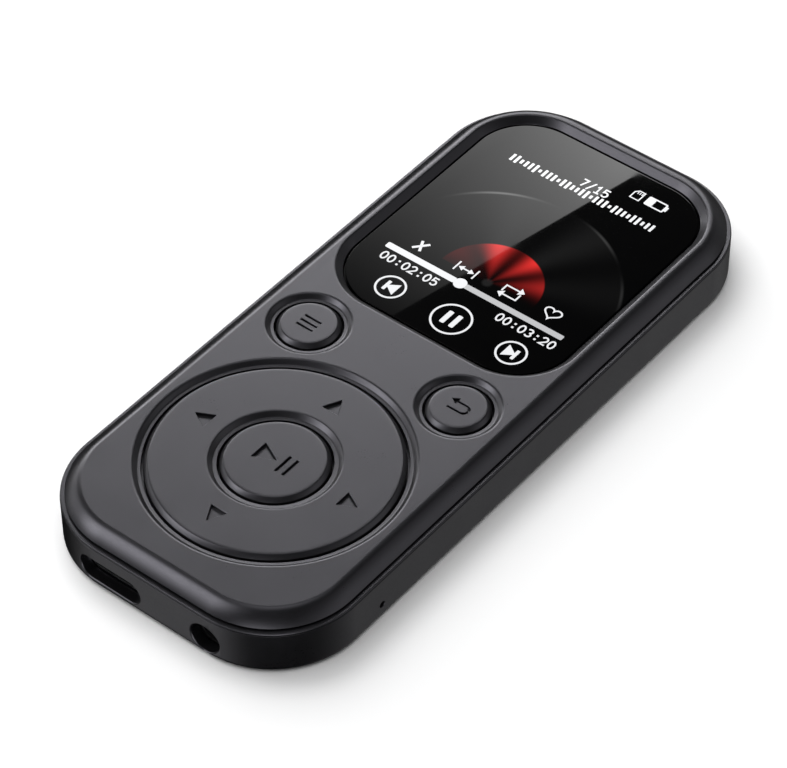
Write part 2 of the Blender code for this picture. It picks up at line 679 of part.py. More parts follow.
def make_microphone():
    boot_thickness = 0.5 * MM
    boot_x = ROOM_HALF_X - GAP - boot_thickness / 2
    boot = block("microphone_boot", (boot_thickness, 3.0 * MM, 1.8 * MM), (boot_x, PINHOLE_Y, PINHOLE_Z))
    passage = cylinder("boot_passage", 0.4 * MM, -MM, MM, segments=12)
    passage.rotation_euler = (0, math.radians(90), 0)
    passage.location = (boot_x, PINHOLE_Y, PINHOLE_Z)
    cut(boot, passage)
    keep(boot, FOAM)
    mic_x = boot_x - boot_thickness / 2 - GAP - 0.6 * MM
    keep(block("microphone", (1.2 * MM, 2.8 * MM, 1.6 * MM), (mic_x, PINHOLE_Y, PINHOLE_Z)), STEEL)


# ---------------------------------------------------------------- the player

clear_scene()
PARTS = new_collection("digital_audio_player")
CUTTERS = new_collection("cutters")

CASE_BLACK = plastic("case_black", (0.055, 0.054, 0.058), 0.45)
KEY_BLACK = plastic("key_black", (0.06, 0.059, 0.063), 0.42)
GLASS = plastic("lens_glass", (0.01, 0.01, 0.012), 0.05)
LCD = plastic("lcd", (0.01, 0.01, 0.012), 0.2)
WHITE = plastic("white_plastic", (0.8, 0.8, 0.78), 0.5)
BLACK = plastic("black_plastic", (0.02, 0.02, 0.02), 0.4)
RED = plastic("red_sleeve", (0.6, 0.02, 0.02), 0.4)
STEEL = plastic("steel", (0.62, 0.62, 0.63), 0.35, 1.0)
FOAM = plastic("foam", (0.03, 0.03, 0.03), 0.95)
FLEX = plastic("flex_film", (0.55, 0.25, 0.06), 0.4)
BOARD_GREEN = plastic("board_green", (0.02, 0.12, 0.05), 0.4)
EPOXY = plastic("epoxy", (0.03, 0.03, 0.032), 0.5)
FERRITE = plastic("ferrite", (0.12, 0.12, 0.12), 0.7)
FOIL = plastic("battery_foil", (0.6, 0.61, 0.62), 0.4, 1.0)

make_front_shell()
make_back_shell()
make_display()
make_wheel()
make_play_button()
make_small_buttons()
make_domes()
make_board()
make_board_screws()
make_chips()
make_battery()
make_usb_socket()
make_headphone_jack()
make_card_slot()
make_microphone()
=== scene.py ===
"""Looks for a pocket digital audio player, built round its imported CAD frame.

Metres, +Z up: +X is the player's right, +Y points to its display end, and its face looks up.
"""

import math

import bmesh
import bpy
from mathutils import Matrix, Vector


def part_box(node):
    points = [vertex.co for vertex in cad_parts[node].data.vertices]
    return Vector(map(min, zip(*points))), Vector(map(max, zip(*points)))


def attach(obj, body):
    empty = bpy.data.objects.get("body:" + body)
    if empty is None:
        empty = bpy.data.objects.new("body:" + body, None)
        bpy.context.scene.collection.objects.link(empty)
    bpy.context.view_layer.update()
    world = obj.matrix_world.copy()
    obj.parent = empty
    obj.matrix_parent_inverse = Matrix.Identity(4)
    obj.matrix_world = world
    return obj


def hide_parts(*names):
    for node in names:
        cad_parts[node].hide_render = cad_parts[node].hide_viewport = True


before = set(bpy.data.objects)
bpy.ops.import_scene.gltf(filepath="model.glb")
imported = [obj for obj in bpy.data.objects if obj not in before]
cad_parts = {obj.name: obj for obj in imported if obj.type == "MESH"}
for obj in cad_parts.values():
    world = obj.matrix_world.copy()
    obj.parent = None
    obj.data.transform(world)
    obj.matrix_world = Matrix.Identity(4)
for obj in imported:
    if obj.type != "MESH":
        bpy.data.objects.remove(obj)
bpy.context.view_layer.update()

MM = 0.001
GAP = 0.30 * MM  # clearance between separate pieces


def node_centre(name):
    low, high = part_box(name)
    return (low + high) / 2


# Driving places, all read from the frame
FRONT_LOW, FRONT_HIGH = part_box("front_shell")
BACK_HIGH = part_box("back_shell")[1]
LENS_LOW, LENS_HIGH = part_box("display_lens")
WHEEL_LOW, WHEEL_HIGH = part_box("control_wheel")
FACE_Z = FRONT_HIGH.z
SKIRT_BOTTOM = FRONT_LOW.z + 0.05 * MM
RIM_Z = BACK_HIGH.z
SEAM_Z = RIM_Z + GAP
LENS_TOP = LENS_HIGH.z
LENS_CENTRE = (0.0, (LENS_LOW.y + LENS_HIGH.y) / 2)
KEY_BOTTOM = WHEEL_LOW.z
WHEEL_CENTRE = (0.0, (WHEEL_LOW.y + WHEEL_HIGH.y) / 2)
MENU_CENTRE = tuple(node_centre("menu_button").xy)
RETURN_CENTRE = tuple(node_centre("return_button").xy)

# Case
SEAM_RADIUS = 11.63 * MM
CROWN_WIDTH = 2.15 * MM  # rolled border between the flat face and the seam
CROWN_TILTS = [(0.0, 0), (0.08, 11), (0.30, 28), (1.0, 48)]  # share of the border's length, degrees
SKIRT_INSET = 1.25 * MM
SKIRT_WALL = 0.90 * MM
SEAM_TUCK, SEAM_LIP = 0.06 * MM, 0.05 * MM  # how far the crown's edge turns in and down at the seam
PLATE_UNDERSIDE = FACE_Z - 1.20 * MM
BOSS_RADIUS = 1.20 * MM
PILOT_RADIUS = 0.65 * MM
BACK_RADIUS = 12.23 * MM
BACK_WALL = 1.50 * MM
BACK_FLOOR = 0.90 * MM
FOOT_RADIUS = 1.10 * MM
LINE_BELOW_RIM = 0.22 * MM  # fine shadow line round the back case
LINE_HEIGHT = 0.12 * MM
LINE_DEPTH = 0.10 * MM
LINE_SLOPE = 0.03 * MM
CORNER_STEPS = 28

# Openings in the back case
USB_HALF_X, USB_HALF_Z, USB_CORNER = 4.70 * MM, 1.65 * MM, 1.62 * MM
JACK_RADIUS = 2.05 * MM
PINHOLE_RADIUS = 0.45 * MM
SLOT_CORNER = 0.25 * MM
THUMB_HALF_Y, THUMB_HALF_Z, THUMB_CORNER = 3.4 * MM, 1.5 * MM, 1.45 * MM
THUMB_SHRINK, THUMB_DEPTH = 1.1 * MM, 0.9 * MM
USB_MOUTH, JACK_MOUTH, PINHOLE_MOUTH, SLOT_MOUTH = 0.22 * MM, 0.25 * MM, 0.08 * MM, 0.12 * MM
OPENING_DEPTH = 2.2 * MM  # past the wall's inside
CUTTER_OVERHANG = 1.0 * MM  # how far a cutter starts outside the wall

# Display window
LENS_RADIUS = 7.55 * MM
LENS_EDGE = 0.03 * MM
LENS_LIP = 0.22 * MM  # the lens's carrier, which closes the gap round it
LENS_LIP_HEIGHT = 0.30 * MM
LENS_BORDER = 0.60 * MM  # level strip round the lens's flat middle
WINDOW_BEVEL = 0.95 * MM
WINDOW_BORDER = 0.25 * MM  # level strip round the window
LEDGE_WIDTH = 1.15 * MM
LEDGE_TOP = LENS_LOW.z - 0.80 * MM

# Controls
LEVEL_BORDER = 0.40 * MM  # level strip inside a top's rounded edge
WELL_BORDER = 0.30 * MM  # level strip outside a well's rounded edge
KEY_EDGES = [0.12 * MM, 0.08 * MM, 0.03 * MM, 0.05 * MM, 0.05 * MM]  # rounding of a key's corners, top first
SMALL_FLANGE, PLAY_FLANGE = 0.50 * MM, 0.25 * MM
GROOVE_DEPTH = 0.56 * MM
GROOVE_SLOPE = 0.55 * MM
TOP_CHAMFER = 0.52 * MM
WHEEL_RADIUS = 15.58 * MM
WHEEL_WELL_EDGE = 16.87 * MM
WHEEL_UNDERSIDE = 6.95 * MM
WHEEL_STEP_RADIUS = 10.0 * MM
PLAY_RADIUS = 6.64 * MM
PLAY_WELL_EDGE = 8.01 * MM
SMALL_RADIUS = 4.03 * MM
SMALL_WELL_EDGE = 5.32 * MM
MARK_DEPTH = 0.40 * MM
MARK_EDGE = 0.05 * MM
MARK_CIRCLE = 11.30 * MM
ARROW_BASE, ARROW_HEIGHT = 2.4 * MM, 2.3 * MM
PLAY_ARROW = 2.8 * MM
PAUSE_BAR = (0.35 * MM, 2.9 * MM)
MENU_BAR = (2.5 * MM, 0.32 * MM)
MENU_PITCH = 0.85 * MM
ROUND_STEPS = 128

# Least cosine in a mitred corner, so that a sharp one doesn't shoot out
OUTLINE_MITRE = 0.35
STROKE_MITRE = 0.45


# -------- outlines

def rounded_outline(half_x, half_y, radius, steps=CORNER_STEPS):
    """Points round a rectangle with rounded corners, anticlockwise from its low left corner."""
    points = []
    for side_x, side_y, start in [(-1, -1, 180), (1, -1, 270), (1, 1, 0), (-1, 1, 90)]:
        centre = (side_x * (half_x - radius), side_y * (half_y - radius))
        points += arc(centre, radius, radius, start, start + 90, steps)
    return points


def arc(centre, radius_x, radius_y, start, end, steps=12):
    """Points along an ellipse's arc, with its angles in degrees."""
    points = []
    for step in range(steps + 1):
        angle = math.radians(start + (end - start) * step / steps)
        points.append((centre[0] + radius_x * math.cos(angle), centre[1] + radius_y * math.sin(angle)))
    return points


def small_circle(radius):
    return circle(radius, 24)


def circle(radius, steps=ROUND_STEPS):
    """Points round a circle, without a second copy of the first one."""
    return arc((0, 0), radius, radius, 0, 360 * (1 - 1 / steps), steps - 1)


def soften(points, reaches, steps=4):
    """A polyline whose inner corners are rounded, each from its own reach before it to its reach after."""
    rounded = [Vector(points[0])]
    for before, corner, after, reach in zip(points, points[1:], points[2:], reaches):
        before, corner, after = Vector(before), Vector(corner), Vector(after)
        if reach == 0:
            rounded.append(corner)
            continue
        start = corner + (before - corner).normalized() * reach
        end = corner + (after - corner).normalized() * reach
        for step in range(steps + 1):
            share = step / steps
            rounded.append(start * (1 - share) ** 2 + corner * 2 * share * (1 - share) + end * share ** 2)
    rounded.append(Vector(points[-1]))
    return [tuple(point) for point in rounded]


def rolled_edge(width, drop, stops, steps=26):
    """An edge that rolls over from level: (outward, down) points that follow tilts in degrees."""
    points = [(0.0, 0.0)]
    for step in range(steps):
        share = (step + 0.5) / steps
        for (first, tilt), (last, next_tilt) in zip(stops, stops[1:]):
            if first <= share <= last:
                angle = math.radians(tilt + (next_tilt - tilt) * (share - first) / (last - first))
        points.append((points[-1][0] + math.cos(angle), points[-1][1] + math.sin(angle)))
    scale_out, scale_down = width / points[-1][0], drop / points[-1][1]
    return [(out * scale_out, down * scale_down) for out, down in points]


def grown(outline, amount):
    """A closed outline moved outward by amount, with mitred corners."""
    result = []
    for i, point in enumerate(outline):
        here = Vector(point)
        back = (here - Vector(outline[i - 1])).normalized()
        ahead = (Vector(outline[(i + 1) % len(outline)]) - here).normalized()
        normal = Vector((back.y + ahead.y, -back.x - ahead.x)).normalized()
        reach = amount / max(OUTLINE_MITRE, normal.dot(Vector((ahead.y, -ahead.x))))
        result.append(tuple(here + normal * reach))
    return result


def placed(outline, centre=(0, 0), angle=0.0, scale=1.0):
    """An outline scaled, turned by an angle in radians and moved."""
    turn = Matrix.Rotation(angle, 2) * scale
    return [tuple(turn @ Vector(point) + Vector(centre)) for point in outline]


def stroke(points, width):
    """The outline of a line of the given width along open points, with square ends."""
    sides = []
    for side in (1, -1):
        line = []
        for i, point in enumerate(points):
            here = Vector(point)
            back = (here - Vector(points[i - 1])).normalized() if i else None
            ahead = (Vector(points[i + 1]) - here).normalized() if i + 1 < len(points) else back
            back = back or ahead
            normal = Vector((back.y + ahead.y, -back.x - ahead.x)).normalized()
            reach = width / 2 / max(STROKE_MITRE, normal.dot(Vector((ahead.y, -ahead.x))))
            line.append(tuple(here + normal * side * reach))
        sides.append(line)
    return sides[0] + sides[1][::-1]


# -------- meshes

SHARP_ANGLE = math.radians(32)


def add_ring(bm, outline, z, centre=(0, 0)):
    return [bm.verts.new((centre[0] + x, centre[1] + y, z)) for x, y in outline]


def bridge(bm, rings):
    """Joins each ring to the next with quads."""
    for lower, upper in zip(rings, rings[1:]):
        for i in range(len(lower)):
            j = (i + 1) % len(lower)
            bm.faces.new((lower[i], lower[j], upper[j], upper[i]))


def fill(bm, rings):
    """Fills the flat region inside the first ring and outside the others."""
    edges = []
    for ring in rings:
        for first, second in zip(ring, ring[1:] + ring[:1]):
            edges.append(bm.edges.get((first, second)) or bm.edges.new((first, second)))
    bmesh.ops.triangle_fill(bm, edges=edges, use_beauty=True, use_dissolve=False, normal=(0, 0, 1))


def sweep(bm, outline_at, profile, centre=(0, 0)):
    """Carries a profile of (offset, z) round outline_at(offset). Returns its first and last ring."""
    rings = [add_ring(bm, outline_at(offset), z, centre) for offset, z in profile]
    bridge(bm, rings)
    return rings[0], rings[-1]


def prism(bm, outlines, low, high, centre=(0, 0)):
    """A flat plate: the first outline is its edge, the others are holes."""
    bottoms = [add_ring(bm, outline, low, centre) for outline in outlines]
    tops = [add_ring(bm, outline, high, centre) for outline in outlines]
    for bottom, top in zip(bottoms, tops):
        bridge(bm, [bottom, top])
    fill(bm, bottoms)
    fill(bm, tops)


def make_object(name, bm):
    bmesh.ops.recalc_face_normals(bm, faces=bm.faces)
    mesh = bpy.data.meshes.new(name)
    bm.to_mesh(mesh)
    bm.free()
    obj = bpy.data.objects.new(name, mesh)
    bpy.context.scene.collection.objects.link(obj)
    shade(obj)
    return obj


def shade(obj):
    """Smooth shading that keeps the edges sharp where the surface turns by more than SHARP_ANGLE."""
    obj.data.shade_smooth()
    obj.data.set_sharp_from_angle(angle=SHARP_ANGLE)


def dress(obj, mat, body="player_body", replaced=()):
    """Gives a finished piece its material, its body and the nodes it stands for."""
    obj.data.materials.clear()
    obj.data.materials.append(mat)
    weighted = obj.modifiers.new("weighted_normals", "WEIGHTED_NORMAL")
    weighted.keep_sharp = True
    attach(obj, body)
    if replaced:
        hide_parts(*replaced)
    return obj


def carve(obj, cutters):
    """Cuts the cutters out of a piece for good, and removes them."""
    for cutter in cutters:
        boolean = obj.modifiers.new("carve", "BOOLEAN")
        boolean.operation = "DIFFERENCE"
        boolean.solver = "EXACT"
        boolean.object = cutter
    evaluated = obj.evaluated_get(bpy.context.evaluated_depsgraph_get())
    mesh = bpy.data.meshes.new_from_object(evaluated)
    obj.modifiers.clear()
    obj.data = mesh
    for cutter in cutters:
        bpy.data.objects.remove(cutter)
    shade(obj)
    return obj


# -------- materials

class Shading:
    """A node tree with short calls for the nodes that the finishes and the studio share."""

    def __init__(self, owner):
        owner.use_nodes = True
        self.nodes = owner.node_tree.nodes
        self.links = owner.node_tree.links

    def put(self, socket, value):
        """Links a node's output to the socket, or sets the socket to a plain value."""
        if isinstance(value, bpy.types.NodeSocket):
            self.links.new(value, socket)
        elif value is not None:
            socket.default_value = value

    def math(self, operation, first, second=None, third=None):
        node = self.nodes.new("ShaderNodeMath")
        node.operation = operation
        for socket, value in zip(node.inputs, (first, second, third)):
            self.put(socket, value)
        return node.outputs["Value"]

    def vector_math(self, operation, first, second=None, output="Vector"):
        node = self.nodes.new("ShaderNodeVectorMath")
        node.operation = operation
        self.put(node.inputs[0], first)
        self.put(node.inputs[1], second)
        return node.outputs[output]

    def spread(self, value, low, high, new_low, new_high, smooth=False):
        """Carries value from low..high to new_low..new_high."""
        node = self.nodes.new("ShaderNodeMapRange")
        node.interpolation_type = "SMOOTHSTEP" if smooth else "LINEAR"
        node.inputs["From Min"].default_value = low
        node.inputs["From Max"].default_value = high
        node.inputs["To Min"].default_value = new_low
        node.inputs["To Max"].default_value = new_high
        self.put(node.inputs["Value"], value)
        return node.outputs["Result"]

    def split(self, vector):
        node = self.nodes.new("ShaderNodeSeparateXYZ")
        self.put(node.inputs["Vector"], vector)
        return node.outputs

    def grey(self, value):
        """A vector or colour with the same value three times."""
        node = self.nodes.new("ShaderNodeCombineXYZ")
        for socket in node.inputs:
            self.put(socket, value)
        return node.outputs["Vector"]


class Finish(Shading):
    """A Principled material laid out in the piece's own metres."""

    def __init__(self, name, **values):
        self.material = bpy.data.materials.new(name)
        super().__init__(self.material)
        self.shader = self.nodes["Principled BSDF"]
        self.place = self.nodes.new("ShaderNodeTexCoord").outputs["Object"]
        for socket, value in values.items():
            self.shader.inputs[socket.replace("_", " ")].default_value = value

    def noise(self, size, detail=2.0, stretch=(1, 1, 1)):
        """Noise with features of the given size, in metres."""
        node = self.nodes.new("ShaderNodeTexNoise")
        self.put(node.inputs["Vector"], self.vector_math("MULTIPLY", self.place, stretch))
        node.inputs["Scale"].default_value = 1 / size
        node.inputs["Detail"].default_value = detail
        return node.outputs["Fac"]

    def rough(self, value):
        self.put(self.shader.inputs["Roughness"], value)

    def glow(self, colour):
        self.put(self.shader.inputs["Emission Color"], colour)
        self.shader.inputs["Emission Strength"].default_value = 1.0

    def bump(self, height, depth):
        node = self.nodes.new("ShaderNodeBump")
        node.inputs["Distance"].default_value = depth
        self.put(node.inputs["Height"], height)
        self.put(self.shader.inputs["Normal"], node.outputs["Normal"])

    def colour(self, factor, first, second):
        """Base colour that runs from first to second as factor goes from 0 to 1."""
        node = self.nodes.new("ShaderNodeMix")
        node.data_type = "RGBA"
        self.put(node.inputs["Factor"], factor)
        self.put(node.inputs[6], (*first, 1.0))
        self.put(node.inputs[7], (*second, 1.0))
        self.put(self.shader.inputs["Base Color"], node.outputs[2])


NOISE_RANGE = (0.3, 0.7)  # where most of a noise's values lie
TONE_SIZE = 9 * MM
GLOSS_SIZE = 6 * MM
FLECK_SIZE = 0.22 * MM
GRAIN_SIZE = 0.10 * MM
BRUSH_SIZE, BRUSH_DEPTH = 0.25 * MM, 0.004 * MM
CELL_SIZE, CELL_DEPTH = 0.25 * MM, 0.05 * MM
TRACK_PITCH, TRACK_HEIGHT = 3.2 * MM, 0.02 * MM
GLOSS_DRIFT, FLECK_DRIFT, BRUSH_DRIFT = 0.02, 0.03, 0.06  # changes of roughness


def moulded_plastic(name, dark, light, roughness, grain=0.0030 * MM, tint=(1, 1, 1, 1)):
    """Fine-grained moulded plastic: slow drifts of tone and gloss, and a grain too fine to count."""
    finish = Finish(name, Specular_Tint=tint)
    tone = finish.spread(finish.noise(TONE_SIZE, 3), *NOISE_RANGE, 0, 1)
    finish.colour(tone, dark, light)
    drift = finish.spread(finish.noise(GLOSS_SIZE, 2), *NOISE_RANGE, -GLOSS_DRIFT, GLOSS_DRIFT)
    fleck = finish.noise(FLECK_SIZE, 2)
    fleck = finish.spread(fleck, *NOISE_RANGE, roughness - FLECK_DRIFT, roughness + FLECK_DRIFT)
    finish.rough(finish.math("ADD", drift, fleck))
    finish.bump(finish.noise(GRAIN_SIZE, 3), grain)
    return finish.material


def metal(name, dark, light, roughness, stretch):
    """Rolled or plated metal, with fine lines along one axis."""
    finish = Finish(name, Metallic=1.0)
    lines = finish.noise(BRUSH_SIZE, 3, stretch)
    finish.colour(lines, dark, light)
    finish.rough(finish.spread(lines, *NOISE_RANGE, roughness - BRUSH_DRIFT, roughness + BRUSH_DRIFT))
    finish.bump(lines, BRUSH_DEPTH)
    return finish.material


def soft_foam(name, dark, light):
    """Open-celled foam: small round cells."""
    finish = Finish(name, Roughness=0.95)
    node = finish.nodes.new("ShaderNodeTexVoronoi")
    finish.put(node.inputs["Vector"], finish.place)
    node.inputs["Scale"].default_value = 1 / CELL_SIZE
    finish.colour(node.outputs["Distance"], dark, light)
    finish.bump(node.outputs["Distance"], CELL_DEPTH)
    return finish.material


def circuit_board(name):
    """Solder mask over copper: tracks show as a slightly raised, lighter pattern."""
    finish = Finish(name, Roughness=0.38)
    node = finish.nodes.new("ShaderNodeTexBrick")
    finish.put(node.inputs["Vector"], finish.vector_math("MULTIPLY", finish.place, (1, 1, 0)))
    node.inputs["Scale"].default_value = 1 / TRACK_PITCH
    node.inputs["Mortar Size"].default_value = 0.045
    node.inputs["Mortar Smooth"].default_value = 0.2
    tracks = node.outputs["Fac"]
    finish.colour(tracks, (0.008, 0.085, 0.030), (0.020, 0.170, 0.060))
    finish.bump(tracks, TRACK_HEIGHT)
    return finish.material


RECORD_CENTRE = (0.68 * MM, 14.95 * MM)
LABEL_RADIUS = 7.10 * MM
LABEL_BLUR = 0.12 * MM
LABEL_GROWTH = 1.5  # power by which the label brightens outward
RECORD_RADIUS = 16.72 * MM
RECORD_BLUR = 0.20 * MM
RIM_WIDTH = 0.34 * MM
SPINDLE_RADIUS = 0.40 * MM
SPINDLE_BLUR = 0.50 * MM
GROOVE_GLOW, RIM_GLOW, SPINDLE_GLOW = 0.0085, 0.034, 0.014
PIXEL_SIZE = 0.06 * MM
GLASS_TONE_SIZE, SMUDGE_SIZE = 4 * MM, 5 * MM
SMUDGE_ROUGHNESS = (0.008, 0.025)
# Fans of light on the record: angle and width in degrees, strength
LABEL_FANS = [(30, 12.5, 0.42), (68.5, 11.3, 1.0), (114, 13.5, 1.05), (158, 20, 0.08)]
RIM_FANS = [(30, 8, 0.6), (66, 9, 1.1), (121, 13, 4.5)]
LABEL_RED = (0.83, 0.034, 0.031)


def fans(finish, angle, places):
    """Light caught in fans: how strong it is at an angle in degrees."""
    total = 0.0
    for middle, width, strength in places:
        away = finish.math("DIVIDE", finish.math("SUBTRACT", angle, middle), width)
        fan = finish.math("EXPONENT", finish.math("MULTIPLY", finish.math("MULTIPLY", away, away), -1.0))
        total = finish.math("ADD", finish.math("MULTIPLY", fan, strength), total)
    return total


def display_glass(name):
    """Black cover glass. A record with a red label glows under it: it catches light in narrow fans."""
    finish = Finish(name, Specular_IOR_Level=0.115)
    finish.colour(finish.noise(GLASS_TONE_SIZE, 2), (0.0005, 0.0005, 0.0006), (0.0011, 0.0011, 0.0012))
    finish.rough(finish.spread(finish.noise(SMUDGE_SIZE, 4), 0.45, 0.8, *SMUDGE_ROUGHNESS))

    offset = finish.vector_math("SUBTRACT", finish.place, (*RECORD_CENTRE, 0))
    flat = finish.vector_math("MULTIPLY", offset, (1, 1, 0))
    radius = finish.vector_math("LENGTH", flat, output="Value")
    across, along = finish.split(flat)[:2]
    angle = finish.math("DEGREES", finish.math("ARCTAN2", along, across))
    sheen = fans(finish, angle, LABEL_FANS)
    in_label = finish.spread(radius, LABEL_RADIUS - LABEL_BLUR, LABEL_RADIUS + LABEL_BLUR, 1, 0, smooth=True)
    growth = finish.math("POWER", finish.math("DIVIDE", radius, LABEL_RADIUS), LABEL_GROWTH)
    label = finish.math("MULTIPLY", finish.math("MULTIPLY", growth, sheen), in_label)
    red = finish.vector_math("MULTIPLY", finish.grey(label), LABEL_RED)

    record_in, record_out = RECORD_RADIUS - RECORD_BLUR, RECORD_RADIUS + RECORD_BLUR
    in_record = finish.spread(radius, record_in, record_out, 1, 0, smooth=True)
    grooves = finish.math("MULTIPLY", finish.math("SUBTRACT", in_record, in_label), GROOVE_GLOW)
    from_rim = finish.math("ABSOLUTE", finish.math("SUBTRACT", radius, RECORD_RADIUS))
    rim = finish.spread(from_rim, 0.0, RIM_WIDTH, RIM_GLOW, 0.0, smooth=True)
    rim = finish.math("MULTIPLY", rim, fans(finish, angle, RIM_FANS))
    grey = finish.math("ADD", finish.math("MULTIPLY", grooves, sheen), rim)
    spindle_out = SPINDLE_RADIUS + SPINDLE_BLUR
    spindle = finish.spread(radius, SPINDLE_RADIUS, spindle_out, SPINDLE_GLOW, 0.0, smooth=True)
    grey = finish.math("ADD", grey, spindle)
    glow = finish.vector_math("ADD", red, finish.grey(grey))
    height = finish.split(finish.place)["Z"]
    top_only = finish.spread(height, LENS_TOP - 0.05 * MM, LENS_TOP - 0.01 * MM, 0, 1)
    finish.glow(finish.vector_math("MULTIPLY", glow, finish.grey(top_only)))
    return finish.material


def lit_pixels(name, tone):
    """Light from the panel under the glass, with a trace of its pixel grid."""
    finish = Finish(name, Roughness=0.08, Specular_IOR_Level=0.5)
    node = finish.nodes.new("ShaderNodeTexChecker")
    finish.put(node.inputs["Vector"], finish.place)
    node.inputs["Scale"].default_value = 1 / PIXEL_SIZE
    node.inputs["Color1"].default_value = (*(value * tone for value in (0.97, 0.98, 1.0)), 1)
    node.inputs["Color2"].default_value = (*(value * tone for value in (0.92, 0.93, 0.96)), 1)
    finish.glow(node.outputs["Color"])
    finish.colour(node.outputs["Fac"], (0.02, 0.02, 0.02), (0.03, 0.03, 0.03))
    return finish.material


# -------- case

def seam_outline(offset):
    return rounded_outline(FRONT_HIGH.x + offset, FRONT_HIGH.y + offset, SEAM_RADIUS + offset)


def back_outline(offset):
    return rounded_outline(BACK_HIGH.x + offset, BACK_HIGH.y + offset, BACK_RADIUS + offset)


def lens_outline(offset):
    half_y = (LENS_HIGH.y - LENS_LOW.y) / 2
    return rounded_outline(LENS_HIGH.x + offset, half_y + offset, LENS_RADIUS + offset)


def well_profile(edge, hole):
    """A control's recess in the face, from the face down through the plate."""
    ring_z = FACE_Z - GROOVE_DEPTH
    points = [
        (edge + WELL_BORDER, FACE_Z), (edge, FACE_Z), (edge - GROOVE_SLOPE, ring_z),
        (hole, ring_z), (hole, PLATE_UNDERSIDE),
    ]
    return soften(points, [0.20 * MM, 0.14 * MM, 0.05 * MM])


def make_front_case():
    bm = bmesh.new()
    crown = rolled_edge(CROWN_WIDTH, FACE_Z - SEAM_Z, CROWN_TILTS)
    outer = [(out - CROWN_WIDTH, FACE_Z - down) for out, down in crown]
    lip_z = SEAM_Z - SEAM_LIP
    outer += [(-SEAM_TUCK, lip_z), (-SKIRT_INSET, lip_z), (-SKIRT_INSET, SKIRT_BOTTOM)]
    face_edge, skirt_foot = sweep(bm, seam_outline, outer)

    hole = GAP
    window = soften([
        (hole + WINDOW_BEVEL + WINDOW_BORDER, FACE_Z), (hole + WINDOW_BEVEL, FACE_Z), (hole, LENS_TOP),
        (hole, LEDGE_TOP), (hole - LEDGE_WIDTH, LEDGE_TOP), (hole - LEDGE_WIDTH, SKIRT_BOTTOM),
    ], [0.16 * MM, 0.05 * MM, 0, 0])
    window_edge, window_foot = sweep(bm, lens_outline, window, LENS_CENTRE)

    wells = [
        (WHEEL_CENTRE, WHEEL_WELL_EDGE, WHEEL_RADIUS + GAP),
        (MENU_CENTRE, SMALL_WELL_EDGE, SMALL_RADIUS + GAP),
        (RETURN_CENTRE, SMALL_WELL_EDGE, SMALL_RADIUS + GAP),
    ]
    well_tops, well_feet = [], []
    for centre, edge, radius in wells:
        top, foot = sweep(bm, circle, well_profile(edge, radius), centre)
        well_tops.append(top)
        well_feet.append(foot)
    fill(bm, [face_edge, window_edge] + well_tops)

    skirt_x = FRONT_HIGH.x - SKIRT_INSET - SKIRT_WALL
    skirt_y = FRONT_HIGH.y - SKIRT_INSET - SKIRT_WALL
    bay_high = LENS_CENTRE[1] - (LENS_HIGH.y - LENS_LOW.y) / 2 - GAP - 1.80 * MM
    bay_half_y = (bay_high + skirt_y) / 2
    bay_centre = (0, (bay_high - skirt_y) / 2)
    bay = rounded_outline(skirt_x, bay_half_y, SEAM_RADIUS - SKIRT_INSET - SKIRT_WALL)
    bay_foot = add_ring(bm, bay, SKIRT_BOTTOM, bay_centre)
    bay_top = add_ring(bm, bay, PLATE_UNDERSIDE, bay_centre)
    bridge(bm, [bay_foot, bay_top])
    fill(bm, [skirt_foot, window_foot, bay_foot])

    bosses = []
    for number in range(1, 5):
        centre = node_centre(f"board_screw_{number}").xy
        profile = [
            (BOSS_RADIUS, PLATE_UNDERSIDE), (BOSS_RADIUS, FRONT_LOW.z), (PILOT_RADIUS, FRONT_LOW.z),
            (PILOT_RADIUS, PLATE_UNDERSIDE - 0.05 * MM),
        ]
        root, pilot_end = sweep(bm, small_circle, profile, centre)
        fill(bm, [pilot_end])
        bosses.append(root)
    fill(bm, [bay_top] + well_feet + bosses)

    case = make_object("front_case", bm)
    flex_low, flex_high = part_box("lcd_flex")
    channel_low = flex_low - Vector((0.6, 1.0, 1.0)) * MM
    channel_high = flex_high + Vector((0.6, 1.0, 0.6)) * MM
    carve(case, [block("flex_channel", channel_low, channel_high)])
    return dress(case, CASE_PLASTIC, replaced=["front_shell"])


def block(name, low, high):
    """A box between two corners."""
    place = Matrix.Translation((low + high) / 2) @ Matrix.Diagonal((*(high - low), 1))
    bm = bmesh.new()
    bmesh.ops.create_cube(bm, size=1.0, matrix=place)
    return make_object(name, bm)


def wall_cutter(name, outline, wall_at, outward, mouth):
    """Cutter for an opening in a side wall. Its mouth flares along the wall's own curve.

    The outline's points are (place along the wall, height). wall_at gives the wall's point at a place
    along it, and outward is the wall's way out.
    """
    bm = bmesh.new()
    levels = [(mouth, -CUTTER_OVERHANG), (mouth, 0.0)]
    for degrees in (25, 50, 75):
        angle = math.radians(degrees)
        levels.append((mouth * (1 - math.sin(angle)), mouth * (1 - math.cos(angle))))
    levels += [(0.0, mouth), (0.0, OPENING_DEPTH)]
    rings = []
    for grow, depth in levels:
        ring = []
        for along, height in grown(outline, grow):
            point = wall_at(along) + Vector((0, 0, height)) - Vector(outward) * depth
            ring.append(bm.verts.new(point))
        rings.append(ring)
    bridge(bm, rings)
    fill_ring(bm, rings[0])
    fill_ring(bm, rings[-1])
    return make_object(name, bm)


def fill_ring(bm, ring):
    """Fills a ring with a fan of triangles round its middle."""
    centre = bm.verts.new(sum((vert.co for vert in ring), Vector()) / len(ring))
    for first, second in zip(ring, ring[1:] + ring[:1]):
        bm.faces.new((first, second, centre))


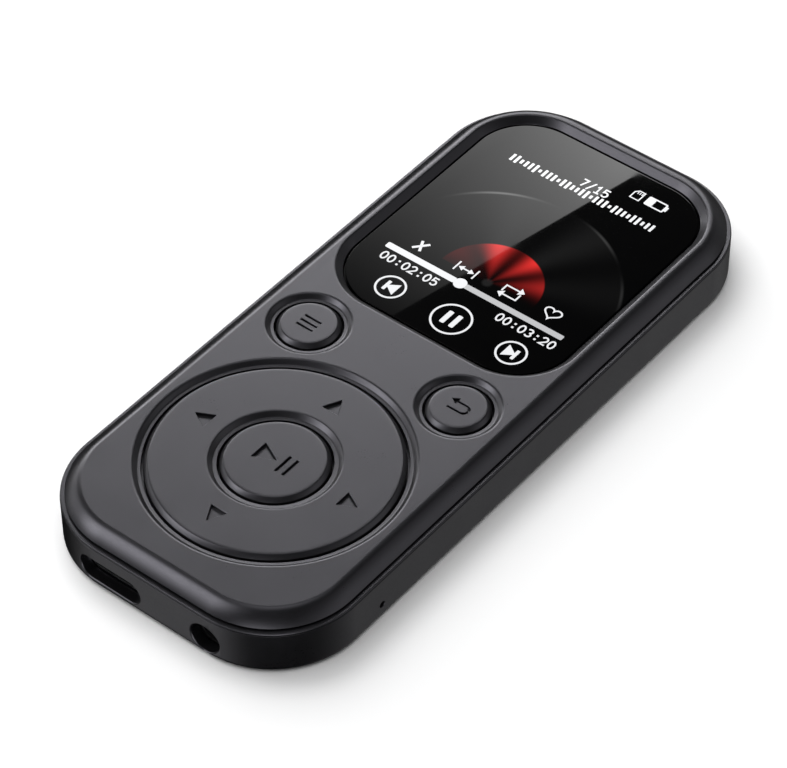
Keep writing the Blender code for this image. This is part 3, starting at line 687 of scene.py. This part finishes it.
def end_wall(x):
    """The point on the back case's -Y wall at this x, at the table's height."""
    beyond = max(0.0, abs(x) - (BACK_HIGH.x - BACK_RADIUS))
    return Vector((x, -BACK_HIGH.y + BACK_RADIUS - math.sqrt(BACK_RADIUS ** 2 - beyond ** 2), 0))


def side_wall(sign):
    """A function for the point on the back case's +X or -X wall at a y, at the table's height."""
    return lambda y: Vector((sign * BACK_HIGH.x, y, 0))


def make_back_case():
    bm = bmesh.new()
    foot = arc((-FOOT_RADIUS, FOOT_RADIUS), FOOT_RADIUS, FOOT_RADIUS, -90, 0, 8)
    line_high = RIM_Z - LINE_BELOW_RIM
    line_low = line_high - LINE_HEIGHT
    rim = soften([
        (0, RIM_Z - 0.60 * MM), (0, line_low), (-LINE_DEPTH, line_low + LINE_SLOPE),
        (-LINE_DEPTH, line_high - LINE_SLOPE), (-0.01 * MM, line_high), (-0.05 * MM, RIM_Z),
        (-BACK_WALL, RIM_Z), (-BACK_WALL, BACK_FLOOR), (-BACK_WALL - 0.6 * MM, BACK_FLOOR),
    ], [0.015 * MM, 0.015 * MM, 0.015 * MM, 0.02 * MM, 0.12 * MM, 0.05 * MM, 0.4 * MM])
    bottom, floor = sweep(bm, back_outline, [(-FOOT_RADIUS - LEVEL_BORDER, 0)] + foot + rim)
    fill(bm, [bottom])
    fill(bm, [floor])
    case = make_object("back_case", bm)

    usb = node_centre("usb_c_shell")
    jack = node_centre("headphone_jack")
    pinhole = node_centre("microphone_boot")
    card = node_centre("memory_card")
    card_low, card_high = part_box("memory_card")
    slot_half = (card_high - card_low) / 2 + Vector((GAP, GAP, GAP))
    usb_slot = placed(rounded_outline(USB_HALF_X, USB_HALF_Z, USB_CORNER, 10), (usb.x, usb.z))
    jack_hole = placed(circle(JACK_RADIUS, 48), (jack.x, jack.z))
    pin_hole = placed(small_circle(PINHOLE_RADIUS), (pinhole.y, pinhole.z))
    card_slot = placed(rounded_outline(slot_half.y, slot_half.z, SLOT_CORNER, 4), (card.y, card.z))
    thumb = placed(rounded_outline(THUMB_HALF_Y, THUMB_HALF_Z, THUMB_CORNER, 10), (card.y, card.z))
    jack_low, jack_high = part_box("headphone_jack")
    pocket_grow = Vector((GAP, GAP, 0.2 * MM))
    pocket_low = jack_low - pocket_grow
    pocket_high = Vector((jack_high.x, jack_high.y, BACK_FLOOR)) + pocket_grow
    carve(case, [
        wall_cutter("usb_mouth", usb_slot, end_wall, (0, -1, 0), USB_MOUTH),
        wall_cutter("jack_mouth", jack_hole, end_wall, (0, -1, 0), JACK_MOUTH),
        wall_cutter("pinhole_mouth", pin_hole, side_wall(1), (1, 0, 0), PINHOLE_MOUTH),
        wall_cutter("card_mouth", card_slot, side_wall(-1), (-1, 0, 0), SLOT_MOUTH),
        thumb_notch(thumb),
        block("jack_pocket", pocket_low, pocket_high),
    ])
    return dress(case, CASE_PLASTIC, replaced=["back_shell"])


def thumb_notch(outline):
    """A shallow scoop in the card slot's wall, for a fingertip."""
    bm = bmesh.new()
    rings = []
    steps = 6
    for step in range(steps + 1):
        angle = math.radians(90 * step / steps)
        shrink = THUMB_SHRINK * (1 - math.cos(angle))
        depth = THUMB_DEPTH * math.sin(angle)
        rings.append([bm.verts.new((-BACK_HIGH.x + depth, y, z)) for y, z in grown(outline, -shrink)])
    outside = [bm.verts.new((-BACK_HIGH.x - CUTTER_OVERHANG, y, z)) for y, z in outline]
    bridge(bm, [outside] + rings)
    fill_ring(bm, outside)
    fill_ring(bm, rings[-1])
    return make_object("thumb_notch", bm)


# -------- lens and keys

def make_lens():
    bm = bmesh.new()
    lip_top = LENS_LOW.z + LENS_LIP_HEIGHT
    profile = soften([
        (-LENS_BORDER, LENS_TOP), (-3 * LENS_EDGE, LENS_TOP), (0, LENS_TOP), (0, lip_top),
        (LENS_LIP, lip_top), (LENS_LIP, LENS_LOW.z), (-LENS_BORDER, LENS_LOW.z),
    ], [0, LENS_EDGE, 0, 0, 0])
    top, bottom = sweep(bm, lens_outline, profile, LENS_CENTRE)
    fill(bm, [top])
    fill(bm, [bottom])
    return dress(make_object("lens", bm), DISPLAY_GLASS, replaced=["display_lens"])


def engrave(bm, outline):
    """Sinks a mark into a key's top and returns the ring that the top is filled up to."""
    levels = [(MARK_EDGE, FACE_Z), (0, FACE_Z - MARK_EDGE), (0, FACE_Z - MARK_DEPTH)]
    rings = [add_ring(bm, grown(outline, amount), z) for amount, z in levels]
    bridge(bm, rings)
    fill(bm, [rings[-1]])
    return rings[0]


def triangle(base, height):
    """A triangle that points along +X, with slightly rounded corners."""
    corners = [(-height / 2, -base / 2), (height / 2, 0), (-height / 2, base / 2)]
    looped = corners + corners[:2]
    return soften(looped, [0.08 * MM] * 3, 2)[1:-1]


def bar(size_x, size_y, x=0.0, y=0.0):
    """A bar with slightly rounded ends."""
    return placed(rounded_outline(size_x / 2, size_y / 2, min(size_x, size_y) * 0.2, 2), (x, y))


def key_profile(radius, flange_radius, flange_top):
    """A key's side, from its top down to the flange that keeps it in and round to its underside."""
    top_radius = radius - TOP_CHAMFER
    points = [
        (top_radius - LEVEL_BORDER, FACE_Z), (top_radius, FACE_Z), (radius, FACE_Z - TOP_CHAMFER),
        (radius, flange_top), (flange_radius, flange_top), (flange_radius, KEY_BOTTOM),
        (radius - 1.0 * MM, KEY_BOTTOM),
    ]
    return soften(points, KEY_EDGES)


def make_key(name, node, body, radius, marks):
    """A round push key with its engraved marks."""
    centre = node_centre(node).xy
    flange_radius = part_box(node)[1].x - centre.x
    flange_top = KEY_BOTTOM + (SMALL_FLANGE if radius == SMALL_RADIUS else PLAY_FLANGE)
    bm = bmesh.new()
    top, bottom = sweep(bm, circle, key_profile(radius, flange_radius, flange_top), centre)
    rings = [engrave(bm, placed(mark, centre)) for mark in marks]
    fill(bm, [top] + rings)
    fill(bm, [bottom])
    return dress(make_object(name, bm), KEY_PLASTIC, body, [node])


def make_wheel():
    """The four-way wheel, with its marks and the well for the play key in its middle."""
    bm = bmesh.new()
    ring_z = FACE_Z - GROOVE_DEPTH
    hole = PLAY_RADIUS + GAP
    flange = WHEEL_HIGH.x
    top_radius = WHEEL_RADIUS - TOP_CHAMFER
    profile = soften([
        (top_radius - LEVEL_BORDER, FACE_Z), (top_radius, FACE_Z), (WHEEL_RADIUS, FACE_Z - TOP_CHAMFER),
        (WHEEL_RADIUS, WHEEL_UNDERSIDE), (flange, WHEEL_UNDERSIDE), (flange, KEY_BOTTOM),
        (WHEEL_STEP_RADIUS, KEY_BOTTOM), (WHEEL_STEP_RADIUS, WHEEL_UNDERSIDE), (hole, WHEEL_UNDERSIDE),
        (hole, ring_z), (PLAY_WELL_EDGE - GROOVE_SLOPE, ring_z), (PLAY_WELL_EDGE, FACE_Z),
        (PLAY_WELL_EDGE + WELL_BORDER, FACE_Z),
    ], KEY_EDGES + [0, 0, 0.03 * MM, 0.05 * MM, 0.08 * MM, 0.12 * MM])
    outer, inner = sweep(bm, circle, profile, WHEEL_CENTRE)
    rings = []
    for number in range(4):
        angle = math.radians(90 * number)
        centre = (MARK_CIRCLE * math.cos(angle), WHEEL_CENTRE[1] + MARK_CIRCLE * math.sin(angle))
        rings.append(engrave(bm, placed(triangle(ARROW_BASE, ARROW_HEIGHT), centre, angle)))
    fill(bm, [outer, inner] + rings)
    return dress(make_object("wheel", bm), KEY_PLASTIC, "wheel_body", ["control_wheel"])


def return_mark():
    """A line that comes from the left, turns round at the right and goes back to an arrowhead."""
    half, line, left, turn_x = 0.70 * MM, 0.30 * MM, -1.15 * MM, 0.75 * MM
    low, high = half - line / 2, half + line / 2
    outer = arc((turn_x, 0), high, high, -90, 90)
    inner = arc((turn_x, 0), low, low, 90, -90)
    head_x, wing = left + 0.55 * MM, 0.38 * MM
    head = [
        (head_x, high), (head_x, high + wing), (left - 0.30 * MM, half), (head_x, low - wing), (head_x, low),
    ]
    return [(left, -high)] + outer + head + inner + [(left, -low)]


# -------- screen

INLAY_LOW = LENS_TOP - 0.02 * MM
INLAY_HIGH = LENS_TOP + 0.02 * MM
# Lines of a digit one unit high
DIGITS = {
    "0": [arc((0, 0), 0.29, 0.5, 90, 450, 24)],
    "1": [[(-0.22, 0.26), (0.03, 0.5), (0.03, -0.5)], [(-0.26, -0.5), (0.30, -0.5)]],
    "2": [arc((0, 0.20), 0.29, 0.30, 165, -40, 9) + [(-0.29, -0.5), (0.32, -0.5)]],
    "3": [arc((-0.02, 0.25), 0.28, 0.25, 150, -85, 9), arc((-0.02, -0.24), 0.31, 0.26, 85, -150, 9)],
    "5": [[(0.27, 0.5), (-0.23, 0.5), (-0.25, 0.06)] + arc((-0.01, -0.18), 0.30, 0.32, 110, -145, 10)],
    "7": [[(-0.29, 0.5), (0.28, 0.5), (-0.10, -0.5)]],
    "/": [[(-0.26, -0.60), (0.26, 0.60)]],
}


def inlay(bm, *outlines):
    """A lit shape set level into the lens's top: the first outline is its edge, the others are holes."""
    prism(bm, outlines, INLAY_LOW, INLAY_HIGH)


def ring_line(bm, outline, width):
    """A closed line of the given width along an outline."""
    inlay(bm, grown(outline, width / 2), grown(outline, -width / 2))


def write_digits(bm, text, start, height, pitch, width):
    """Digits in a row, start being the middle of the row's left end."""
    scale = height - width
    for number, letter in enumerate(text):
        centre = (start[0] + pitch * (number + 0.5), start[1])
        if letter == ":":
            for y in (-0.30, 0.16):
                inlay(bm, bar(width * 1.3, width * 1.3, centre[0], centre[1] + y * height))
            continue
        for line in DIGITS[letter]:
            points = placed(line, centre, scale=scale)
            if letter == "0":
                ring_line(bm, points[:-1], width)
            else:
                inlay(bm, stroke(points, width))


def screen_piece(name, bm, mat):
    return dress(make_object(name, bm), mat)


def make_progress():
    """The bar that shows how far a track has played, and its knob."""
    left, right, y = -13.50 * MM, 13.95 * MM, 12.77 * MM
    knob_x, knob_radius = -1.88 * MM, 0.90 * MM
    knob_left, knob_right = knob_x - 0.9 * knob_radius, knob_x + 0.9 * knob_radius
    halves = [
        ("played", left, knob_left, 0.96 * MM, PIXELS_WHITE),
        ("left", knob_right, right, 0.84 * MM, PIXELS_GREY),
    ]
    for name, start, end, height, mat in halves:
        bm = bmesh.new()
        inlay(bm, placed(bar(end - start, height), ((start + end) / 2, y)))
        screen_piece(f"screen_bar_{name}", bm, mat)
    bm = bmesh.new()
    inlay(bm, placed(circle(knob_radius, 40), (knob_x, y)))
    screen_piece("screen_bar_knob", bm, PIXELS_WHITE)


def make_times():
    bm = bmesh.new()
    height, width, pitch, y = 1.52 * MM, 0.23 * MM, 1.13 * MM, 11.00 * MM
    write_digits(bm, "00:02:05", (-13.05 * MM, y), height, pitch, width)
    write_digits(bm, "00:03:20", (5.08 * MM, y), height, pitch, width)
    screen_piece("screen_times", bm, PIXELS_WHITE)
    bm = bmesh.new()
    write_digits(bm, "7/15", (-1.45 * MM, 37.36 * MM), 1.56 * MM, pitch, width)
    screen_piece("screen_counter", bm, PIXELS_WHITE)


def make_transport():
    """Back, pause and forward, each in a ring."""
    bm = bmesh.new()
    line = 0.28 * MM
    side_y, middle = 6.89 * MM, (1.17 * MM, 7.02 * MM)
    ring_line(bm, placed(circle(2.58 * MM, 64), middle), line)
    for side, x in ((-1, -8.25 * MM), (1, 10.50 * MM)):
        ring_line(bm, placed(circle(1.92 * MM, 64), (x, side_y)), line)
        points = arrow_head(2.15 * MM, 1.62 * MM, (x - side * 0.14 * MM, side_y), side)
        inlay(bm, points)
        inlay(bm, bar(0.46 * MM, 1.75 * MM, x + side * 0.60 * MM, side_y))
    for offset in (-0.70 * MM, 0.70 * MM):
        inlay(bm, bar(0.68 * MM, 2.36 * MM, middle[0] + offset, middle[1]))
    screen_piece("screen_transport", bm, PIXELS_WHITE)


def arrow_head(base, height, centre, side):
    """A triangle that points along side times +X."""
    return placed(triangle(base, height), centre, 0 if side > 0 else math.pi)


def make_icons():
    """In one row: a cross for shuffle, a double arrow between bars, a repeat loop and a heart."""
    bm = bmesh.new()
    line = 0.22 * MM
    x, y, half_y = -9.87 * MM, 15.10 * MM, 0.88 * MM
    for half_x in (0.78 * MM, -0.40 * MM):
        inlay(bm, stroke([(x - half_x, y - half_y), (x + half_x, y + half_y)], 0.36 * MM))

    x, y = -2.75 * MM, 15.15 * MM
    for side in (-1, 1):
        inlay(bm, bar(line, 1.75 * MM, x + side * 1.45 * MM, y))
        inlay(bm, arrow_head(0.95 * MM, 0.75 * MM, (x + side * 0.82 * MM, y), side))
    inlay(bm, bar(1.0 * MM, line, x, y))

    x, y = 4.10 * MM, 15.33 * MM
    half_x, half_y = 1.22 * MM, 0.80 * MM
    for side in (-1, 1):
        tip = x + side * (half_x + 0.20 * MM)
        line_points = [
            (tip - side * 0.5 * MM, y + side * half_y), (x - side * half_x, y + side * half_y),
            (x - side * half_x, y - side * (half_y - 0.45 * MM)),
        ]
        inlay(bm, stroke(line_points, line))
        inlay(bm, arrow_head(1.30 * MM, 0.80 * MM, (tip - side * 0.28 * MM, y + side * half_y), side))

    x, y = 10.31 * MM, 15.42 * MM
    heart = []
    steps = 40
    for step in range(steps):
        turn = math.radians(360 * step / steps)
        across = 16 * math.sin(turn) ** 3
        rise = 13 * math.cos(turn) - 5 * math.cos(2 * turn) - 2 * math.cos(3 * turn) - math.cos(4 * turn)
        heart.append((x - across * 0.074 * MM, y + (rise + 2) * 0.066 * MM))
    ring_line(bm, heart, line)
    screen_piece("screen_icons", bm, PIXELS_WHITE)


def make_status():
    """A memory card and a battery, in the top corner."""
    bm = bmesh.new()
    x, y, half_x, half_y = 5.85 * MM, 39.70 * MM, 0.66 * MM, 0.82 * MM
    card = [
        (x - half_x, y - half_y), (x + half_x, y - half_y), (x + half_x, y + half_y),
        (x - half_x + 0.45 * MM, y + half_y), (x - half_x, y + half_y - 0.45 * MM),
    ]
    ring_line(bm, card, 0.16 * MM)
    for number in range(3):
        inlay(bm, bar(0.12 * MM, 0.42 * MM, x + (0.32 * number - 0.18) * MM, y + 0.42 * MM))

    x, y, half_x, half_y = 8.70 * MM, 39.70 * MM, 1.33 * MM, 0.74 * MM
    ring_line(bm, placed(rounded_outline(half_x, half_y, 0.12 * MM, 3), (x, y)), 0.22 * MM)
    inlay(bm, bar(0.98 * MM, 1.34 * MM, x - 0.78 * MM, y))
    inlay(bm, bar(0.34 * MM, 0.90 * MM, x + half_x + 0.24 * MM, y))
    screen_piece("screen_status", bm, PIXELS_WHITE)


def make_title():
    """A level meter's bars stand where a player shows the track's name."""
    bm = bmesh.new()
    count, left, right, y = 31, -11.05 * MM, 10.90 * MM, 35.70 * MM
    for number in range(count):
        x = left + (right - left) * number / (count - 1)
        swell = 0.5 + 0.3 * math.sin(1.7 * number + 0.5) + 0.2 * math.sin(2.9 * number)
        inlay(bm, bar(0.38 * MM, (0.55 + 1.25 * swell) * MM, x, y))
    screen_piece("screen_level_bars", bm, PIXELS_WHITE)


# -------- sockets

def make_usb_contacts():
    """Two rows of plated contacts on the socket's tongue."""
    low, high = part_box("usb_c_tongue")
    bm = bmesh.new()
    count, pitch, half_height = 12, 0.50 * MM, 0.02 * MM
    for z in (low.z, high.z):
        for number in range(count):
            x = (low.x + high.x) / 2 + (number - (count - 1) / 2) * pitch
            outline = placed(rounded_outline(0.13 * MM, 1.3 * MM, 0.05 * MM, 2), (x, low.y + 1.6 * MM))
            prism(bm, [outline], z - half_height, z + half_height)
    return dress(make_object("usb_contacts", bm), GOLD)


def make_jack_barrel():
    """The headphone socket's plated sleeve, just inside its mouth."""
    mouth_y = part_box("headphone_jack")[0].y
    centre = node_centre("headphone_jack")
    outer, inner, start, end, edge = 1.76 * MM, 1.62 * MM, 0.50 * MM, 2.60 * MM, 0.06 * MM
    bm = bmesh.new()
    rings = []
    for radius, depth in ((outer, start), (inner, start + edge), (inner, end), (outer, end)):
        ring = placed(circle(radius, 48), (centre.x, centre.z))
        rings.append([bm.verts.new((x, mouth_y + depth, z)) for x, z in ring])
    bridge(bm, rings + [rings[0]])
    return dress(make_object("jack_sleeve", bm), DARK_METAL)


# -------- what is carried over from the frame

def finish_nodes():
    """Better materials on the CAD nodes that stay."""
    finishes = [
        (BOARD, ["main_board", "battery_guard_board"]),
        (STEEL, ["wheel_pivot_ring", "lcd_tray", "card_socket", "crystal", "microphone"]),
        (STEEL, [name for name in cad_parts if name.startswith(("dome_", "board_screw_"))]),
        (SOCKET_STEEL, ["usb_c_shell"]),
        (BLACK_PLASTIC, ["usb_c_tongue", "headphone_jack", "battery_lead_black", "memory_card"]),
        (RED_SLEEVE, ["battery_lead_red"]),
        (FOAM, ["lens_gasket", "battery_pad", "microphone_boot"]),
        (LCD_GLASS, ["lcd_panel"]),
        (WHITE_PLASTIC, ["lcd_backlight", "lcd_connector", "battery_connector"]),
        (FLEX_FILM, ["lcd_flex"]),
        (EPOXY, ["main_processor", "flash_memory", "audio_codec", "power_chip"]),
        (FERRITE, ["inductor"]),
        (BATTERY_FOIL, ["battery_cell"]),
    ]
    for mat, names in finishes:
        for name in names:
            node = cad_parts[name]
            node.data.materials.clear()
            node.data.materials.append(mat)


# -------- studio

CAMERA_AZIMUTH = -51.437  # degrees from +X, as in bearing
CAMERA_ELEVATION = 45.059
CAMERA_ROLL = math.radians(-0.123)
CAMERA_TARGET = Vector((3.63 * MM, -6.38 * MM, FACE_Z))
CAMERA_DISTANCE = 418.84 * MM
CAMERA_LENS = 159.47
CAMERA_SHIFT = -0.00686
FLOOR_HALF = 6.0

# Lamps: where each stands, and its strength
LAMP_SPREAD = 70  # degrees
LAMPS = [
    ("lamp_left", (-0.7, 0.25, 0.6), 2.2),
    ("lamp_top", (-0.1, -0.1, 1.0), 2.15),
    ("lamp_front", (0.6, -0.6, 0.45), 0.3),
]
# Round softboxes: azimuth from +X and elevation in degrees, tightness, strength
SOFTBOXES = {
    "overhead": (130, 80, 30, 2.5),
    "left_ridge": (143, 28, 60, 4.0),
    "far_ridge": (119, 20, 60, 3.4),
    "left_wall": (190, 14, 30, 2.0),
    "left_low": (222, 30, 50, 9.0),
    "front_high": (230, 46, 40, 6.5),
    "front_low": (292, 12, 30, 5.5),
    "right_low": (315, -4, 30, 7.0),
    "far_low": (85, 13, 12, 0.3),
    "right_side": (8, 13, 10, 1.0),
    "far_right": (38, 22, 20, 0.8),
    "table_front": (238, -35, 15, 1.15),
    "table_right": (52, -38, 8, 0.40),
}
# One tall card behind the player, with a straight edge, that the display mirrors
CARD_SIDE = (168.3, -38.65)  # azimuth and elevation square to its edge, on the card's side
CARD_FOOT = 0.02  # least height of a direction that meets the card
CARD_LEANS = (-0.68, -0.63)  # slopes, X to Z, between which it brightens towards its edge
CARD_EDGE_GAIN = 1.5
CARD_START, CARD_PEAK = 0.79, 1.00  # slopes, Y to Z, over which it brightens from its top down
CARD_CURVE = 1.6
CARD_STEPS = [(1.00, 1.15, 0.6), (1.60, 1.90, 0.4)]  # slopes over which it fades again, and by how much
CARD_BRIGHTNESS = 12.8


def bearing(azimuth, elevation):
    """The direction at an azimuth from +X and an elevation, in degrees."""
    turn, rise = math.radians(azimuth), math.radians(elevation)
    return Vector((math.cos(turn) * math.cos(rise), math.sin(turn) * math.cos(rise), math.sin(rise)))


def camera_axes():
    """The camera's right, up and backward directions."""
    back = bearing(CAMERA_AZIMUTH, CAMERA_ELEVATION)
    right = bearing(CAMERA_AZIMUTH + 90, 0)
    up = back.cross(right)
    across, rise = math.cos(CAMERA_ROLL), math.sin(CAMERA_ROLL)
    return right * across + up * rise, up * across - right * rise, back


def make_camera():
    data = bpy.data.cameras.new("camera")
    data.sensor_width = 36
    data.lens = CAMERA_LENS
    data.shift_x = CAMERA_SHIFT
    data.clip_start = 0.01
    data.clip_end = 50
    camera = bpy.data.objects.new("camera", data)
    right, up, back = camera_axes()
    turn = Matrix((right, up, back)).transposed()
    camera.matrix_world = Matrix.Translation(CAMERA_TARGET + back * CAMERA_DISTANCE) @ turn.to_4x4()
    bpy.context.scene.collection.objects.link(camera)
    bpy.context.scene.camera = camera


def make_floor():
    """White paper. It lights the player, but mirror rays don't see it, as if black flags stood round it."""
    bm = bmesh.new()
    bmesh.ops.create_grid(bm, x_segments=1, y_segments=1, size=FLOOR_HALF)
    floor = make_object("floor", bm)
    finish = Finish("floor_paper", Roughness=0.9, Specular_IOR_Level=0.0)
    finish.colour(finish.noise(0.05, 2), (0.93, 0.93, 0.932), (0.945, 0.945, 0.946))
    floor.data.materials.append(finish.material)
    floor.visible_glossy = False


def make_surroundings():
    """What the player mirrors, and nothing else: round softboxes and a graded card with a straight edge."""
    world = bpy.data.worlds.new("studio")
    bpy.context.scene.world = world
    shading = Shading(world)
    toward = shading.nodes.new("ShaderNodeTexCoord").outputs["Generated"]
    total = 0.0
    for azimuth, elevation, tightness, strength in SOFTBOXES.values():
        near = shading.vector_math("DOT_PRODUCT", toward, bearing(azimuth, elevation), "Value")
        fade = shading.math("MULTIPLY", shading.math("SUBTRACT", near, 1.0), tightness)
        glow = shading.math("MULTIPLY", shading.math("EXPONENT", fade), strength)
        total = shading.math("ADD", glow, total)

    x, y, z = shading.split(toward)
    height = shading.math("MAXIMUM", z, CARD_FOOT)
    lean = shading.math("DIVIDE", x, height)
    slope = shading.math("DIVIDE", y, height)
    past_edge = shading.vector_math("DOT_PRODUCT", toward, bearing(*CARD_SIDE), "Value")
    card = shading.math("MULTIPLY", shading.math("GREATER_THAN", past_edge, 0.0), CARD_BRIGHTNESS)
    card = shading.math("MULTIPLY", card, shading.math("GREATER_THAN", z, CARD_FOOT))
    card = shading.math("MULTIPLY", card, shading.spread(lean, *CARD_LEANS, 1.0, CARD_EDGE_GAIN))
    grade = shading.math("POWER", shading.spread(slope, CARD_START, CARD_PEAK, 0, 1), CARD_CURVE)
    fall = 0.0
    for first, last, share in CARD_STEPS:
        fall = shading.math("ADD", shading.spread(slope, first, last, share, 0.0), fall)
    card = shading.math("MULTIPLY", card, shading.math("MULTIPLY", grade, fall))
    total = shading.math("ADD", total, card)
    shading.put(shading.nodes["Background"].inputs["Color"], shading.grey(total))
    world.cycles_visibility.diffuse = False


def make_lamps():
    """Broad lamps that whiten the floor and cast its soft shadows."""
    for name, direction, strength in LAMPS:
        data = bpy.data.lights.new(name, "SUN")
        data.energy = strength
        data.angle = math.radians(LAMP_SPREAD)
        lamp = bpy.data.objects.new(name, data)
        lamp.rotation_mode = "QUATERNION"
        lamp.rotation_quaternion = Vector(direction).to_track_quat("Z", "Y")
        lamp.visible_glossy = False
        bpy.context.scene.collection.objects.link(lamp)


COOL_TINT = (0.91, 0.89, 1.0, 1.0)
CASE_PLASTIC = moulded_plastic(
    "case_plastic", (0.0030, 0.0030, 0.0034), (0.0045, 0.0045, 0.0050), 0.32, tint=COOL_TINT)
KEY_PLASTIC = moulded_plastic(
    "key_plastic", (0.0035, 0.0035, 0.0039), (0.0050, 0.0050, 0.0055), 0.32, tint=COOL_TINT)
DISPLAY_GLASS = display_glass("display_glass")
PIXELS_WHITE = lit_pixels("pixels_white", 0.90)
PIXELS_GREY = lit_pixels("pixels_grey", 0.54)
BOARD = circuit_board("solder_mask")
STEEL = metal("spring_steel", (0.50, 0.50, 0.51), (0.66, 0.66, 0.67), 0.30, (1, 0.05, 1))
SOCKET_STEEL = metal("socket_steel", (0.20, 0.20, 0.21), (0.30, 0.30, 0.31), 0.34, (1, 0.05, 1))
DARK_METAL = metal("dark_metal", (0.10, 0.10, 0.105), (0.16, 0.16, 0.165), 0.32, (1, 0.05, 1))
GOLD = metal("gold_plate", (0.75, 0.52, 0.20), (0.85, 0.62, 0.28), 0.25, (1, 0.05, 1))
BLACK_PLASTIC = moulded_plastic("black_plastic", (0.008, 0.008, 0.009), (0.012, 0.012, 0.013), 0.42)
RED_SLEEVE = moulded_plastic("red_sleeve", (0.45, 0.012, 0.010), (0.55, 0.020, 0.015), 0.45)
WHITE_PLASTIC = moulded_plastic("white_plastic", (0.70, 0.70, 0.68), (0.78, 0.78, 0.76), 0.50)
FOAM = soft_foam("foam", (0.010, 0.010, 0.011), (0.035, 0.035, 0.036))
LCD_GLASS = moulded_plastic("lcd_glass", (0.006, 0.006, 0.008), (0.008, 0.008, 0.010), 0.15, 0.0)
FLEX_FILM = moulded_plastic("flex_film", (0.42, 0.17, 0.03), (0.50, 0.22, 0.05), 0.35)
EPOXY = moulded_plastic("epoxy", (0.020, 0.020, 0.021), (0.032, 0.032, 0.033), 0.55, 0.01 * MM)
FERRITE = moulded_plastic("ferrite", (0.07, 0.07, 0.07), (0.11, 0.11, 0.11), 0.70, 0.01 * MM)
BATTERY_FOIL = metal("battery_foil", (0.55, 0.56, 0.57), (0.68, 0.69, 0.70), 0.38, (0.3, 0.3, 1))


def make_player():
    make_front_case()
    make_back_case()
    make_lens()
    make_wheel()
    play_arrow = placed(triangle(PLAY_ARROW, PLAY_ARROW), (-1.2 * MM, 0))
    play_marks = [play_arrow, bar(*PAUSE_BAR, 1.2 * MM), bar(*PAUSE_BAR, 2.3 * MM)]
    menu_marks = [bar(*MENU_BAR, 0, number * MENU_PITCH) for number in (-1, 0, 1)]
    make_key("play_key", "play_button", "play_button_body", PLAY_RADIUS, play_marks)
    make_key("menu_key", "menu_button", "menu_button_body", SMALL_RADIUS, menu_marks)
    make_key("return_key", "return_button", "return_button_body", SMALL_RADIUS, [return_mark()])
    make_progress()
    make_times()
    make_transport()
    make_icons()
    make_status()
    make_title()
    make_usb_contacts()
    make_jack_barrel()
    finish_nodes()


make_player()
make_camera()
make_floor()
make_surroundings()
make_lamps()
bpy.context.scene.view_settings.view_transform = "Standard"
bpy.context.scene.cycles.use_denoising = True
